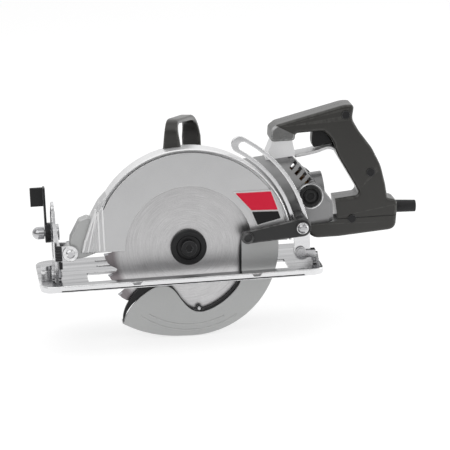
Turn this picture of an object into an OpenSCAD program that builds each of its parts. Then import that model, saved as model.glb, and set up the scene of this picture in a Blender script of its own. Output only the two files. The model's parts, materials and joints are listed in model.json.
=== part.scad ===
// Worm drive circular saw with a 184 mm blade, sprung lower guard, depth and bevel settings.
// Frame: +X to the rear handle, -Y to the blade side, +Z up, sole of the foot on z = 0.

/* [Blade and stance] */
// Blade diameter over the tooth tips
blade_d = 184; // [160:1:210]
// Blade plate thickness
blade_t = 1.8; // [1.2:0.1:3]
// Teeth round the blade
tooth_count = 24; // [16:1:60]
// Tooth depth from tip to gullet
tooth_depth = 7; // [4:0.5:10]
// Height of the spindle axis over the sole
axis_h = 30; // [28:0.5:33]

/* [Spindle] */
// Spindle radius
spindle_r = 8; // [6:0.5:12]
// Clamping washer radius
washer_r = 19.5; // [15:0.5:25]
// Far end of the spindle
spindle_end = 92; // [86:1:95]

/* [Worm drive] */
// Motor axis distance from the blade plane
motor_y = 60; // [59:0.5:66]
// Rise of the motor axis towards the rear, degrees
motor_tilt = 5; // [3:0.5:7]
// Distance between the spindle and motor axes
centre_gap = 31; // [30.8:0.1:31.3]
// Worm threads
worm_starts = 3; // [2:1:4]
// Wheel teeth
wheel_teeth = 14; // [12:1:18]
// Worm pitch radius
worm_pitch_r = 12; // [11.8:0.1:12.2]
// Worm wheel face width
wheel_w = 16; // [12:1:20]

/* [Motor] */
// Motor housing outside radius
motor_r = 42; // [40:0.5:43]
// Motor housing front end along the motor axis
motor_front = 58; // [56:0.5:60]
// Motor housing rear end along the motor axis
motor_rear = 164; // [162:0.5:166]
// Slant of the motor end from the upright, degrees
end_tilt = 34.5; // [33:0.5:36]
// Armature core radius
core_r = 23; // [20:0.5:24]
// Brush position along the motor axis
brush_x = 140; // [137:0.5:140]
// Brush cap radius
brush_cap_r = 12; // [10:0.5:13]

/* [Guards] */
// Upper guard, reach past the tooth tips
guard_gap = 13; // [12:0.5:15]
// Upper guard, its middle over the spindle axis
guard_lift = 5; // [4:0.5:6]
// Upper guard half width
guard_w = 14; // [13:0.5:15]
// Round window in the face of the upper guard, radius
window_r = 69; // [60:1:75]
// Lower guard, reach past the tooth tips
lower_gap = 5; // [4.5:0.25:5.5]
// Lower guard half width
lower_w = 9; // [8:0.5:10]
// Lower guard start angle at the nose, degrees
lower_from = -134; // [-136:1:-125]
// Lower guard end angle at the rear, degrees
lower_to = 6; // [0:1:10]

/* [Foot] */
// Foot length ahead of the upper guard
foot_front = 58; // [55:1:65]
// Foot length behind the upper guard
foot_rear = 36; // [35.5:0.5:45]
// Foot width on the blade side
foot_near = 47; // [44:1:55]
// Foot width on the motor side
foot_far = 95; // [85:1:110]
// Foot sheet thickness
foot_t = 3; // [2:0.1:4]
// Height of the turned-up near edge
edge_h = 7; // [5:0.5:9]
// Slot for the blade, width on the blade side
slot_near = 16; // [15:0.5:20]
// Slot for the blade, width on the motor side
slot_far = 23; // [22.5:0.5:26]
// Slot for the blade, length ahead of the upper guard
slot_front = 5; // [4:0.5:9]
// Slot for the blade, length behind the upper guard
slot_rear = 1; // [0.5:0.5:2]

/* [Depth setting] */
// Depth pivot, distance ahead of the upper guard
pivot_out = 23; // [21:0.5:25]
// Depth pivot, height over the sole
pivot_z = 34; // [33:0.5:36]
// Depth clamp bolt, distance behind the upper guard
clamp_out = 17; // [16:0.5:19]
// Depth clamp bolt, height over the sole
clamp_z = 47; // [46:0.5:49]
// Link pin, distance behind the upper guard
pin_out = 16; // [15:0.5:17]
// Link pin, height over the sole
pin_z = 17; // [16.5:0.5:18]
// Depth swing, degrees
depth_swing = 24; // [20:1:25]
// Link swing as a share of the depth swing
link_ratio = 0.6; // [0.55:0.01:0.65]

/* [Bevel setting] */
// Bevel axis height over the sole
bevel_z = 9; // [9:0.1:9.5]
// Slot radius of the bevel quadrant
quadrant_r = 70; // [66:0.5:74]
// Lock bolt angle from the upright, degrees
bevel_lock_angle = 62; // [60:1:63]
// Bevel swing, degrees
bevel_swing = 45; // [40:1:45]

/* [Handles] */
// Rear handle size that its outline follows
handle_span = 140; // [130:1:150]
// Rear handle thickness
handle_w = 34; // [30:1:38]
// Front handle rise over its feet
loop_rise = 30; // [26:1:40]
// Front handle strap width
loop_w = 17; // [14:1:22]
// Front handle strap thickness
loop_t = 6; // [5:0.5:8]

/* [Hidden] */
$fn = 64;
// Overrun of every cut past the face it opens
over = 1;
// Running clearance of shafts in holes
run_gap = 0.05;
// Clearance between parts that pass each other
pass_gap = 0.5;
// Sheet thickness of brackets and the link
sheet_t = 3;

// Blade, clamping stack and spindle
tooth_shares = [[0, 1], [0.06, 0], [0.5, 0.2], [0.78, 0.5], [0.93, 1]];
blade_r = blade_d / 2;
guard_r = blade_r + guard_gap;
lower_r = blade_r + lower_gap;
guard_z = axis_h + guard_lift;
pivot_x = guard_r + pivot_out;
clamp_x = guard_r + clamp_out;
pin_x = guard_r + pin_out;
foot_x0 = -guard_r - foot_front;
foot_x1 = guard_r + foot_rear;
slot_x0 = -guard_r - slot_front;
slot_x1 = guard_r + slot_rear;
flange_t = 5;
washer_t = 5;
washer_recess_r = 13;
washer_recess = 2;
bolt_head_r = 8.5;
bolt_head_h = 6;
bolt_r = 4;
bolt_len = 32;
bearing_w = 11;
bearing_r = 17.5;
bearing_front = 17;
hex_r = 4.2;
hex_depth = 3.5;
inner_face = blade_t / 2;
flange_back = inner_face + flange_t;
washer_face = -inner_face - washer_t;
bolt_seat = washer_face + washer_recess;

// Worm drive
wheel_pitch_r = centre_gap - worm_pitch_r;
addendum = 1.5;
dedendum = 2.1;
worm_len = 44;
shaft_r = 5;
lead = worm_starts * 2 * PI * wheel_pitch_r / wheel_teeth;
lead_tan = lead / (2 * PI * worm_pitch_r);
wheel_twist = wheel_w * lead_tan / wheel_pitch_r * 180 / PI;
worm_tooth_shares = [[-0.5, 0], [-0.31, 0], [-0.11, 1], [0.11, 1], [0.31, 0]];
wheel_tooth_shares = [[-0.5, 0], [-0.32, 0], [-0.12, 1], [0.12, 1], [0.32, 0]];
worm_front_at = -42;
worm_rear_at = 30;
small_bearing_w = 10;
small_bearing_r = 14.5;

// Gear housing
neck_r = 22;
neck_wall = 1.5;
neck_front = 5.2;
case_r = 31;
case_wall = 5;
// Flat under the case, over the foot
case_gap = 1.5;
case_floor = foot_t + case_gap;
case_back = 98;
tunnel_r = 20;
tunnel_front = -50;
tunnel_wall = 4;
cover_t = 5;
cover_lip = 2;
cover_r = case_r + cover_lip;
cover_hole_r = 25;
cover_screw_angles = [45, 135, 225, 315];
flange_hole_r = 38;
guard_screw_angles = [20, 70, 110, 160];
screw_len = 10;
plug_r = 7;
plug_head_r = 10;
plug_head_t = 3;

// Motor
housing_wall = 3.5;
core_front = 78;
core_len = 42;
air_gap = 0.8;
winding_r = 19;
winding_len = 6;
fan_at = 62;
fan_w = 9;
fan_hub_r = 11;
fan_r = 33;
fan_blades = 11;
fan_blade_t = 1.6;
comm_r = 13;
comm_len = 12;
rear_bearing_at = 148;
cap_t = 4;
cup_r = 16;
cup_front = 146.5;
cup_rear = 160;
end_x = 156.5;
shaft_front = -43;
shaft_rear = rear_bearing_at + small_bearing_w - over;
brush_tube_r = 7;
brush_r = 4.5;
brush_len = 13;
ring_wall = 3;
ring_stand = 4;
cap_stand = 2;
tube_gap = 4;
brush_ring_r = brush_cap_r + ring_wall;
brush_ring_out = motor_r + ring_stand;
brush_cap_out = brush_ring_out + cap_stand;
brush_tube_in = comm_r + tube_gap;
coin_slot = 2;
vent_count = 4;
vent_w = 3.5;
vent_step = 7;
vent_low = 20;
vent_deep = 10;
vent_spine = 8;
clamp_root = 26;
coil_out_r = 34;
core_slots = 12;
core_slot = 2;
core_slot_depth = 5;
comm_bars = 24;
comm_slot = 0.6;
comm_slot_depth = 1.5;
brush_gap = 0.1;
brush_tube_out = motor_r;
mount_boss_r = 9;
seat_y = -1.5;

// Guards
guard_wall = 2.5;
guard_rim_w = 5;
guard_floor = -2;
guard_hole_r = 31;
gusset_t = 9;
lower_wall = 2;
lower_rim_w = 2.5;
hub_r = 25.5;
nose_rise = 12;
nose_r = lower_r + nose_rise;
lower_inner_shares = [
    [-136, 0.98], [-138, 0.92], [-138.5, 0.8], [-137.5, 0.71], [-133, 0.56], [-124, 0.48], [-116, 0.47],
    [-105, 0.55], [-96, 0.65], [-88, 0.717], [-81, 0.742], [-70, 0.735], [-59, 0.723], [-47, 0.708],
    [-37, 0.698], [-22, 0.62], [0, 0.58]
];
lower_steps = 36;
nose_span = 40;
hub_back = 13.5;
gusset_mid = 162;
gusset_step = 8;
stud_r = 3;
stud_at_share = 0.785;
stud_angle = -83;
badge_top_shares = [[0.53, 0.5], [0.86, 0.495], [0.91, 0.335], [0.66, 0.31]];
badge_low_shares = [[0.66, 0.31], [0.91, 0.335], [0.935, 0.205], [0.69, 0.17]];
badge_edge = 9;
badge_t = 1.2;
gusset_top = 143;
gusset_low = 181;
flange_r = 45;
flange_w = 5;

// Foot and brackets
corner_r = 22;
notch_w = 9;
notch_places_shares = [-0.33, 0.5];
ear_r = 8;
ear_t = 3;
bracket_out = 10.5;
bracket_x = -pivot_x - bracket_out;
pivot_pin_r = 4;
pin_head_r = 6.5;
pin_head_t = 4;
bevel_pin_r = 3;
eye_r = 5.5;
rear_ear_r = 6;
quad_half = 9;
quad_margin = 8;
slot_half = 4.2;
bevel_bolt_r = 4;
lever_hub_r = 11;
lever_hub_t = 6;
lever_t = 2.5;
lever_rise = 30;
tab_w = 14;
tab_h = 21;
dome_r = 7;
dome_len = 13;
link_half_w = 9;
rear_gap = 4;
rear_top = 2;
rear_x = pin_x + link_half_w + rear_gap;
hinge_x = rear_x + sheet_t + pass_gap / 2;
hinge_t = 3;
link_slot_half_w = 4.8;
link_far = -2;
link_near = link_far - sheet_t - over;
rear_ear_near = link_near - pass_gap / 2 - sheet_t;
rear_ear_far = link_far + pass_gap / 2 + sheet_t;
clamp_r = 4;
clamp_head_r = 6.5;
clamp_head_t = 6;
clamp_lever_t = 5;
clamp_lever_half = 7;
clamp_lever_len = 60;
clamp_hub_r = 10;
lever_gap = 2;
clamp_lever_far = -guard_w - lever_gap;
fence_out = 14.5;
fence_at = bracket_x - fence_out;
fence_y = 30;
fence_r = 6;
fence_boss_h = 8;
fence_stem_r = 3;
fence_root = 1;
fence_head_h = 5;
link_pin_r = 3;
link_pin_head_r = 5;
link_tail = 2;
lever_tip_x = 62;
lever_tip_z = 40;

// Handles
handle_x = 99;
post_foot_z = 110;
post_foot_share = 0.65;
handle_z = post_foot_z - post_foot_share * handle_span;
handle_shares = [
    [0, 0.79], [0.01, 0.89], [0.06, 0.925], [0.6, 1.05], [0.65, 1.045], [0.675, 1.015],
    [0.65, 0.93], [0.7, 0.835], [0.8, 0.69], [0.865, 0.545], [0.895, 0.4], [0.91, 0.285],
    [0.98, 0.26], [0.995, 0.215], [0.97, 0.07], [0.915, 0.025], [0.51, 0], [0.31, 0],
    [0.23, 0.1], [0.23, 0.3], [0.4, 0.3], [0.665, 0.32], [0.685, 0.35], [0.515, 0.665], [0.435, 0.72],
    [0.335, 0.865],
    [0.2, 0.85], [0.195, 0.79]
];
finger_bar_shares = [[0.195, 0.645], [0.195, 0.675], [0.365, 0.7], [0.45, 0.725], [0.52, 0.7], [0.5, 0.675]];
trigger_shares = [
    [0.315, 0.84], [0.35, 0.85], [0.42, 0.85], [0.47, 0.8], [0.49, 0.755], [0.33, 0.745], [0.345, 0.79]
];
pocket_shares = [[0.28, 0.858], [0.45, 0.868], [0.525, 0.81], [0.545, 0.75], [0.54, 0.737], [0.28, 0.73]];
post_shares = [[-0.05, 0.55], [0.195, 0.55], [0.195, 0.68], [0.175, 0.79], [0.02, 0.79], [-0.04, 0.66]];
trigger_w = 16;
trigger_travel = 5;
post_w = 26;
finger_w = 26;
switch_shares = [[0.535, 0.83], [0.62, 0.87], [0.68, 0.77], [0.56, 0.72]];
boot_r = 7;
boot_len = 24;
boot_root = 12;
cord_r = 4.8;
boot_tilt = 3;
boot_end_r = 6.5;
boot_x_share = 0.975;
boot_z_share = 0.19;
screw_shares = [[0.6, 0.97], [0.78, 0.5], [0.62, 0.14]];
loop_near_y = 2;
loop_far_y = 90;
loop_drop = 11;
loop_bend = 10;
loop_near_x = -13;
loop_far_x = 18;
screw_r = 2.5;
screw_head_r = 4.5;
screw_head_t = 3;

// Places and helpers
lock_y = quadrant_r * sin(bevel_lock_angle);
lock_z = bevel_z + quadrant_r * cos(bevel_lock_angle);
quad_back = bracket_x - sheet_t - pass_gap / 2;
quad_front = quad_back - sheet_t;
lever_back = quad_front - pass_gap / 2;
lever_front = lever_back - lever_hub_t;
ear_in = gusset_t + pass_gap / 2;
core_rear = core_front + core_len;
comm_front = brush_x - comm_len / 2;
rear_bearing_y = spindle_end - bearing_w;
loop_len = norm([loop_far_x - loop_near_x, loop_far_y - loop_near_y]);
loop_turn = atan2(loop_far_x - loop_near_x, loop_far_y - loop_near_y);
loop_top = guard_z + guard_r + loop_rise;
handle_y0 = motor_y - handle_w / 2;
handle_y1 = motor_y + handle_w / 2;
clamp_lever_near = clamp_lever_far - clamp_lever_t;
all_round = 360;
half_turn = 180;
arc_from = half_turn / 2 - bevel_lock_angle;
far_reach = 2 * blade_d;

function polar(r, a) = [r * cos(a), r * sin(a)];
function turned(p, a) = [p[0] * cos(a) - p[1] * sin(a), p[0] * sin(a) + p[1] * cos(a)];
function placed(shares, size, x, z) = [for (s = shares) [x + s[0] * size, z + s[1] * size]];
function gear_points(n, root, tip, shares, from) = [
    for (i = [0 : n - 1]) for (s = shares) polar(root + (tip - root) * s[1], from + (i + s[0]) * all_round / n)
];
function sector(r, a0, a1, n = 8) = concat([[0, 0]], [for (i = [0 : n]) polar(r, a0 + (a1 - a0) * i / n)]);

// Path of the clamp bolt as the link sees it, and the circle through three of its points
function clamp_seen(a) =
    let (d = turned([clamp_x + pivot_x, clamp_z - pivot_z], a))
    let (e = turned([d[0] - pivot_x - pin_x, d[1] + pivot_z - pin_z], a * link_ratio))
    [e[0] + pin_x, e[1] + pin_z];
function circle_mid(a, b, c) =
    let (d = 2 * (a[0] * (b[1] - c[1]) + b[0] * (c[1] - a[1]) + c[0] * (a[1] - b[1])))
    let (sa = a * a, sb = b * b, sc = c * c)
    [(sa * (b[1] - c[1]) + sb * (c[1] - a[1]) + sc * (a[1] - b[1])) / d,
     (sa * (c[0] - b[0]) + sb * (a[0] - c[0]) + sc * (b[0] - a[0])) / d];
function bearing(p) = atan2(p[1], p[0]);
slot_low = clamp_seen(0);
slot_high = clamp_seen(depth_swing);
link_mid = circle_mid(slot_low, clamp_seen(depth_swing / 2), slot_high);
link_r = norm(slot_low - link_mid);
link_a0 = bearing(slot_low - link_mid);
link_a1 = bearing(slot_high - link_mid);
link_pin_a = bearing([pin_x, pin_z] - link_mid);

module y_rod(r, y0, y1) { translate([0, y0, 0]) rotate([-90, 0, 0]) cylinder(r = r, h = y1 - y0); }
module x_rod(r, x0, x1) { translate([x0, 0, 0]) rotate([0, 90, 0]) cylinder(r = r, h = x1 - x0); }
module y_slab(y0, y1) { translate([0, y1, 0]) rotate([90, 0, 0]) linear_extrude(y1 - y0) children(); }
module x_slab(x0, x1) { translate([x0, 0, 0]) rotate([90, 0, 90]) linear_extrude(x1 - x0) children(); }
module at_axle() { translate([0, 0, axis_h]) children(); }
module at_guard() { translate([0, 0, guard_z]) children(); }
module under_case() { translate([-far_reach / 2, 0, case_floor - axis_h - far_reach]) cube(far_reach); }
module at_drive() { translate([0, motor_y, axis_h]) rotate([0, -motor_tilt, 0]) children(); }
module at_motor() { at_drive() translate([0, 0, centre_gap]) children(); }
module both_sides() { children(); mirror([0, 1, 0]) children(); }
module tube_y(r, bore, y0, y1) { difference() { y_rod(r, y0, y1); y_rod(bore, y0 - over, y1 + over); } }
module tube_x(r, bore, x0, x1) { difference() { x_rod(r, x0, x1); x_rod(bore, x0 - over, x1 + over); } }
module band(r, half, a0, a1) {
    intersection() {
        difference() { circle(r = r + half); circle(r = r - half); }
        polygon(sector(far_reach, a0, a1));
    }
    for (a = [a0, a1]) translate(polar(r, a)) circle(r = half);
}

// Spindle, blade and clamping stack
module spindle() {
    color("gainsboro") at_axle() difference() {
        y_rod(spindle_r, -inner_face, spindle_end);
        y_rod(bolt_r, -inner_face - over, bolt_seat + bolt_len + over);
    }
}
module inner_flange() {
    color("dimgray") at_axle() tube_y(washer_r, spindle_r, inner_face, flange_back);
}
module saw_blade() {
    color("silver") at_axle() y_slab(-inner_face, inner_face) difference() {
        polygon(gear_points(tooth_count, blade_r, blade_r - tooth_depth, tooth_shares, 0));
        circle(r = spindle_r);
    }
}
module outer_washer() {
    color([0.08, 0.08, 0.09]) at_axle() difference() {
        y_rod(washer_r, washer_face, -inner_face);
        y_rod(washer_recess_r, washer_face - over, bolt_seat);
        y_rod(bolt_r, bolt_seat - over, over);
    }
}
module blade_bolt() {
    color([0.1, 0.1, 0.11]) at_axle() difference() {
        union() {
            y_rod(bolt_head_r, bolt_seat - bolt_head_h, bolt_seat);
            y_rod(bolt_r, bolt_seat - over, bolt_seat + bolt_len);
        }
        translate([0, bolt_seat - bolt_head_h - over, 0]) rotate([-90, 0, 0])
            cylinder(r = hex_r, h = hex_depth + over, $fn = 6);
    }
}
module spindle_bearings() {
    color("lightgray") at_axle() for (y = [bearing_front, rear_bearing_y])
        tube_y(bearing_r, spindle_r + run_gap, y, y + bearing_w);
}

// Worm and wheel
module worm_wheel() {
    color("darkgoldenrod") at_drive() difference() {
        rotate([90, 0, 0]) translate([0, 0, -wheel_w / 2])
            linear_extrude(wheel_w, twist = -wheel_twist, slices = 12) rotate(-wheel_twist / 2)
                polygon(gear_points(wheel_teeth, wheel_pitch_r - dedendum, wheel_pitch_r + addendum,
                    wheel_tooth_shares, half_turn / 2 + half_turn / wheel_teeth));
        y_rod(spindle_r, -wheel_w, wheel_w);
    }
}
module worm() {
    color("gray") at_motor() difference() {
        translate([-worm_len / 2, 0, 0]) rotate([90, 0, 90])
            linear_extrude(worm_len, twist = -all_round * worm_len / lead, slices = 40)
                rotate(-half_turn * worm_len / lead)
                    polygon(gear_points(worm_starts, worm_pitch_r - dedendum, worm_pitch_r + addendum,
                        worm_tooth_shares, -half_turn / 2));
        x_rod(shaft_r, -worm_len, worm_len);
    }
}
module armature_shaft() {
    color("gainsboro") at_motor() x_rod(shaft_r, shaft_front, shaft_rear);
}
module shaft_bearings() {
    color("lightgray") at_motor() for (x = [worm_front_at, worm_rear_at, rear_bearing_at])
        tube_x(small_bearing_r, shaft_r + run_gap, x, x + small_bearing_w);
}

// Gear housing, its cover and plug
module gear_housing() {
    color([0.72, 0.72, 0.73]) difference() {
        union() {
            at_axle() {
                difference() {
                    y_rod(case_r, guard_w, case_back);
                    under_case();
                }
                y_rod(neck_r, neck_front, guard_w + over);
                difference() {
                    y_rod(flange_r, guard_w, guard_w + flange_w);
                    translate([-far_reach / 2, 0, -far_reach + guard_lift + guard_floor]) cube(far_reach);
                }
            }
            at_motor() {
                x_rod(tunnel_r, tunnel_front, motor_front);
                translate([worm_rear_at + small_bearing_w, 0, 0]) rotate([0, 90, 0])
                    cylinder(r1 = tunnel_r, r2 = motor_r, h = motor_front - worm_rear_at - small_bearing_w);
            }
        }
        at_axle() {
            y_rod(neck_r - neck_wall, neck_front - over, guard_w);
            y_rod(spindle_r + over, neck_front, case_back);
            y_rod(bearing_r, bearing_front, bearing_front + bearing_w);
            y_rod(bearing_r, rear_bearing_y, case_back + over);
            y_rod(wheel_pitch_r + addendum + over, motor_y - wheel_w / 2 - over, motor_y + wheel_w / 2 + over);
            for (a = guard_screw_angles) translate([flange_hole_r * cos(a), 0, flange_hole_r * sin(a)])
                y_rod(screw_r, guard_w - over, guard_w + flange_w + over);
            for (a = cover_screw_angles) translate([cover_hole_r * cos(a), 0, cover_hole_r * sin(a)])
                y_rod(screw_r, case_back - screw_len, case_back + over);
        }
        at_motor() {
            x_rod(worm_pitch_r + addendum + over, worm_front_at + small_bearing_w - over, worm_rear_at + over);
            x_rod(shaft_r + over, shaft_front - over, motor_front + over);
            x_rod(small_bearing_r, worm_front_at, worm_front_at + small_bearing_w);
            x_rod(small_bearing_r, worm_rear_at, motor_front + over);
            translate([worm_rear_at + small_bearing_w, 0, 0]) rotate([0, 90, 0])
                cylinder(r1 = small_bearing_r, r2 = motor_r - housing_wall,
                    h = motor_front - worm_rear_at - small_bearing_w);
            x_rod(plug_r, tunnel_front - over, worm_front_at - tunnel_wall);
        }
    }
}
module gear_cover() {
    color([0.7, 0.7, 0.71]) at_axle() difference() {
        y_rod(cover_r, case_back, case_back + cover_t);
        under_case();
        for (a = cover_screw_angles) translate([cover_hole_r * cos(a), 0, cover_hole_r * sin(a)])
            y_rod(screw_r, case_back - over, case_back + cover_t + over);
    }
}
module oil_plug() {
    color([0.1, 0.1, 0.1]) at_motor() difference() {
        union() {
            x_rod(plug_r, tunnel_front, worm_front_at - tunnel_wall);
            x_rod(plug_head_r, tunnel_front - plug_head_t, tunnel_front);
        }
        translate([tunnel_front - plug_head_t - over, -plug_head_r, -coin_slot / 2])
            cube([over + plug_head_t / 2, 2 * plug_head_r, coin_slot]);
    }
}

// Motor
module motor_housing() {
    color([0.62, 0.62, 0.63]) difference() {
        union() {
            at_motor() {
                difference() {
                    x_rod(motor_r, motor_front, motor_rear - cap_t);
                    beyond_end(cap_t);
                }
                both_sides() translate([brush_x, 0, 0])
                    y_rod(brush_ring_r, motor_r - brush_ring_r / 2, brush_ring_out);
            }
            translate([clamp_x, 0, clamp_z]) y_rod(mount_boss_r, seat_y, motor_y - motor_r / 2);
        }
        at_motor() {
            x_rod(motor_r - housing_wall, motor_front - over, motor_rear + over);
            both_sides() translate([brush_x, 0, 0]) {
                y_rod(brush_cap_r + run_gap, motor_r - over, brush_ring_out + over);
                y_rod(brush_tube_r, 0, motor_r);
            }
            end_slots();
        }
        translate([clamp_x, 0, clamp_z]) y_rod(clamp_r, seat_y - over, clamp_root);
    }
}
module beyond_end(depth) {
    translate([end_x, 0, 0]) rotate([0, -end_tilt, 0])
        translate([-depth, -far_reach / 2, -far_reach / 2]) cube(far_reach);
}
module end_slots() {
    translate([end_x, 0, 0]) rotate([0, -end_tilt, 0]) both_sides() for (i = [0 : vent_count - 1])
        translate([-vent_deep, vent_spine, vent_low + i * vent_step]) cube([vent_deep + over, motor_r, vent_w]);
}
module motor_cap() {
    color([0.6, 0.6, 0.61]) at_motor() difference() {
        union() {
            difference() {
                intersection() {
                    x_rod(motor_r - over, motor_front, motor_rear);
                    union() {
                        beyond_end(cap_t);
                        translate([motor_rear - cap_t, -motor_r, -motor_r])
                            cube([cap_t, 2 * motor_r, 2 * motor_r]);
                    }
                }
                beyond_end(0);
            }
            x_rod(cup_r, cup_front, cup_rear);
        }
        x_rod(small_bearing_r, motor_front, rear_bearing_at + small_bearing_w);
        both_sides() translate([brush_x, 0, 0])
            y_rod(brush_ring_r, motor_r - brush_ring_r / 2 - over, brush_ring_out);
        end_slots();
    }
}
module field_core() {
    color("slategray") at_motor() tube_x(motor_r - housing_wall, core_r + air_gap, core_front, core_rear);
}
module field_coils() {
    color("sienna") at_motor() for (x = [core_front - winding_len, core_rear])
        tube_x(coil_out_r, core_r + air_gap, x, x + winding_len);
}
module armature_core() {
    color("gray") at_motor() difference() {
        x_rod(core_r, core_front, core_rear);
        x_rod(shaft_r, core_front - over, core_rear + over);
        for (i = [0 : core_slots - 1]) rotate([i * all_round / core_slots, 0, 0])
            translate([core_front - over, -core_slot / 2, core_r - core_slot_depth])
                cube([core_len + 2 * over, core_slot, core_slot_depth + over]);
    }
}
module armature_windings() {
    color("chocolate") at_motor() for (x = [core_front - winding_len, core_rear])
        tube_x(winding_r, shaft_r, x, x + winding_len);
}
module commutator() {
    color("peru") at_motor() difference() {
        x_rod(comm_r, comm_front, comm_front + comm_len);
        x_rod(shaft_r, comm_front - over, comm_front + comm_len + over);
        for (i = [0 : comm_bars - 1]) rotate([i * all_round / comm_bars, 0, 0])
            translate([comm_front - over, -comm_slot / 2, comm_r - comm_slot_depth])
                cube([comm_len + 2 * over, comm_slot, comm_slot_depth + over]);
    }
}
module cooling_fan() {
    color("black") at_motor() difference() {
        union() {
            x_rod(fan_hub_r, fan_at, fan_at + fan_w);
            x_rod(fan_r, fan_at, fan_at + fan_blade_t);
            for (i = [0 : fan_blades - 1]) rotate([i * all_round / fan_blades, 0, 0])
                translate([fan_at, -fan_blade_t / 2, fan_hub_r - over])
                    cube([fan_w, fan_blade_t, fan_r - fan_hub_r]);
        }
        x_rod(shaft_r, fan_at - over, fan_at + fan_w + over);
    }
}
module brush_tubes() {
    color("goldenrod") at_motor() both_sides() translate([brush_x, 0, 0])
        tube_y(brush_tube_r, brush_r + run_gap, brush_tube_in, brush_tube_out);
}
module carbon_brushes() {
    color([0.15, 0.15, 0.16]) at_motor() both_sides() translate([brush_x, 0, 0])
        y_rod(brush_r, comm_r + brush_gap, comm_r + brush_gap + brush_len);
}
module brush_springs() {
    color("silver") at_motor() both_sides() translate([brush_x, 0, 0])
        tube_y(brush_r, brush_r / 2, comm_r + brush_gap + brush_len, brush_tube_out);
}
module brush_caps() {
    color([0.06, 0.06, 0.07]) at_motor() both_sides() translate([brush_x, 0, 0]) difference() {
        y_rod(brush_cap_r, brush_tube_out, brush_cap_out);
        translate([-brush_cap_r, brush_cap_out - coin_slot, -coin_slot / 2])
            cube([2 * brush_cap_r, coin_slot + over, coin_slot]);
    }
}

// Guards
module upper_guard() {
    color("silver") difference() {
        union() {
            difference() {
                at_guard() rotate([90, 0, 0]) rotate_extrude($fn = 128) difference() {
                    translate([0, -guard_w]) square([guard_r, 2 * guard_w]);
                    translate([-over, guard_wall - guard_w])
                        square([guard_r - guard_rim_w + over, 2 * (guard_w - guard_wall)]);
                }
                at_axle() y_rod(window_r, -guard_w - over, 0);
                at_axle() y_rod(guard_hole_r, 0, guard_w + over);
                at_guard() translate([-far_reach / 2, -far_reach / 2, -far_reach + guard_floor])
                    cube(far_reach);
            }
            y_slab(-gusset_t, gusset_t) {
                translate([-pivot_x, pivot_z]) circle(r = ear_r);
                polygon([
                    [-pivot_x, pivot_z + ear_r],
                    [-pivot_x + gusset_step, pivot_z + ear_r + gusset_step],
                    polar(guard_r - guard_rim_w / 2, gusset_top) + [0, guard_z],
                    polar(guard_r - guard_rim_w / 2, gusset_mid) + [0, guard_z],
                    polar(guard_r - guard_rim_w / 2, gusset_low) + [0, guard_z],
                    [-pivot_x, pivot_z - ear_r]
                ]);
            }
        }
        translate([-pivot_x, 0, pivot_z]) y_rod(pivot_pin_r + run_gap, -gusset_t - over, gusset_t + over);
        at_axle() for (a = guard_screw_angles) translate([flange_hole_r * cos(a), 0, flange_hole_r * sin(a)])
            y_rod(screw_r, guard_w - guard_wall - over, guard_w + over);
    }
}
module badge_face(shares) {
    at_guard() y_slab(-guard_w - badge_t, -guard_w) intersection() {
        polygon(placed(shares, guard_r, 0, 0));
        circle(r = guard_r - badge_edge);
    }
}
module badge_top() { color([0.75, 0.05, 0.12]) badge_face(badge_top_shares); }
module badge_low() { color([0.05, 0.05, 0.06]) badge_face(badge_low_shares); }
module guard_spring() {
    color("gray") at_axle() tube_y(guard_hole_r - pass_gap / 2, hub_r + pass_gap, lower_w + pass_gap, guard_w);
}
module guard_ring() {
    color("dimgray") at_axle() tube_y(hub_r, neck_r, neck_front, lower_w - lower_wall - pass_gap / 2);
}
module guard_screws() {
    color("gainsboro") at_axle() for (a = guard_screw_angles)
        translate([flange_hole_r * cos(a), 0, flange_hole_r * sin(a)]) {
        y_rod(screw_head_r, lower_w + pass_gap, guard_w - guard_wall);
        y_rod(screw_r, lower_w + pass_gap, guard_w + flange_w);
    }
}
module cover_screws() {
    color("gainsboro") at_axle() for (a = cover_screw_angles)
        translate([cover_hole_r * cos(a), 0, cover_hole_r * sin(a)]) {
        y_rod(screw_head_r, case_back + cover_t, case_back + cover_t + screw_head_t);
        y_rod(screw_r, case_back - screw_len, case_back + cover_t);
    }
}
function lower_edge(a) = a > lower_from + nose_span ? lower_r
    : lower_r + (nose_r - lower_r) * pow((lower_from + nose_span - a) / nose_span, 1.4);
lower_angles = [for (i = [0 : lower_steps]) lower_from + (lower_to - lower_from) * i / lower_steps];
module lower_shape(inner) {
    polygon(concat([for (a = lower_angles) polar(lower_edge(a), a)], inner));
}
module lower_guard() {
    color("darkgray") at_axle() difference() {
        union() {
            y_slab(-lower_w, lower_w) difference() {
                lower_shape([[0, 0]]);
                circle(r = lower_r - lower_rim_w);
            }
            y_slab(-lower_w, -lower_w + lower_wall) difference() {
                lower_shape([for (i = [len(lower_inner_shares) - 1 : -1 : 0])
                    polar(lower_r * lower_inner_shares[i][1], lower_inner_shares[i][0])]);
                circle(r = washer_r + 2 * over);
            }
            y_slab(lower_w - lower_wall, lower_w) lower_shape([[0, 0]]);
            y_rod(hub_r, lower_w - lower_wall, hub_back);
            translate([stud_at_share * lower_r * cos(stud_angle), 0, stud_at_share * lower_r * sin(stud_angle)])
                y_rod(stud_r, -lower_w - over, -lower_w + over);
        }
        y_rod(neck_r + run_gap, 0, hub_back + over);
    }
}

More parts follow.
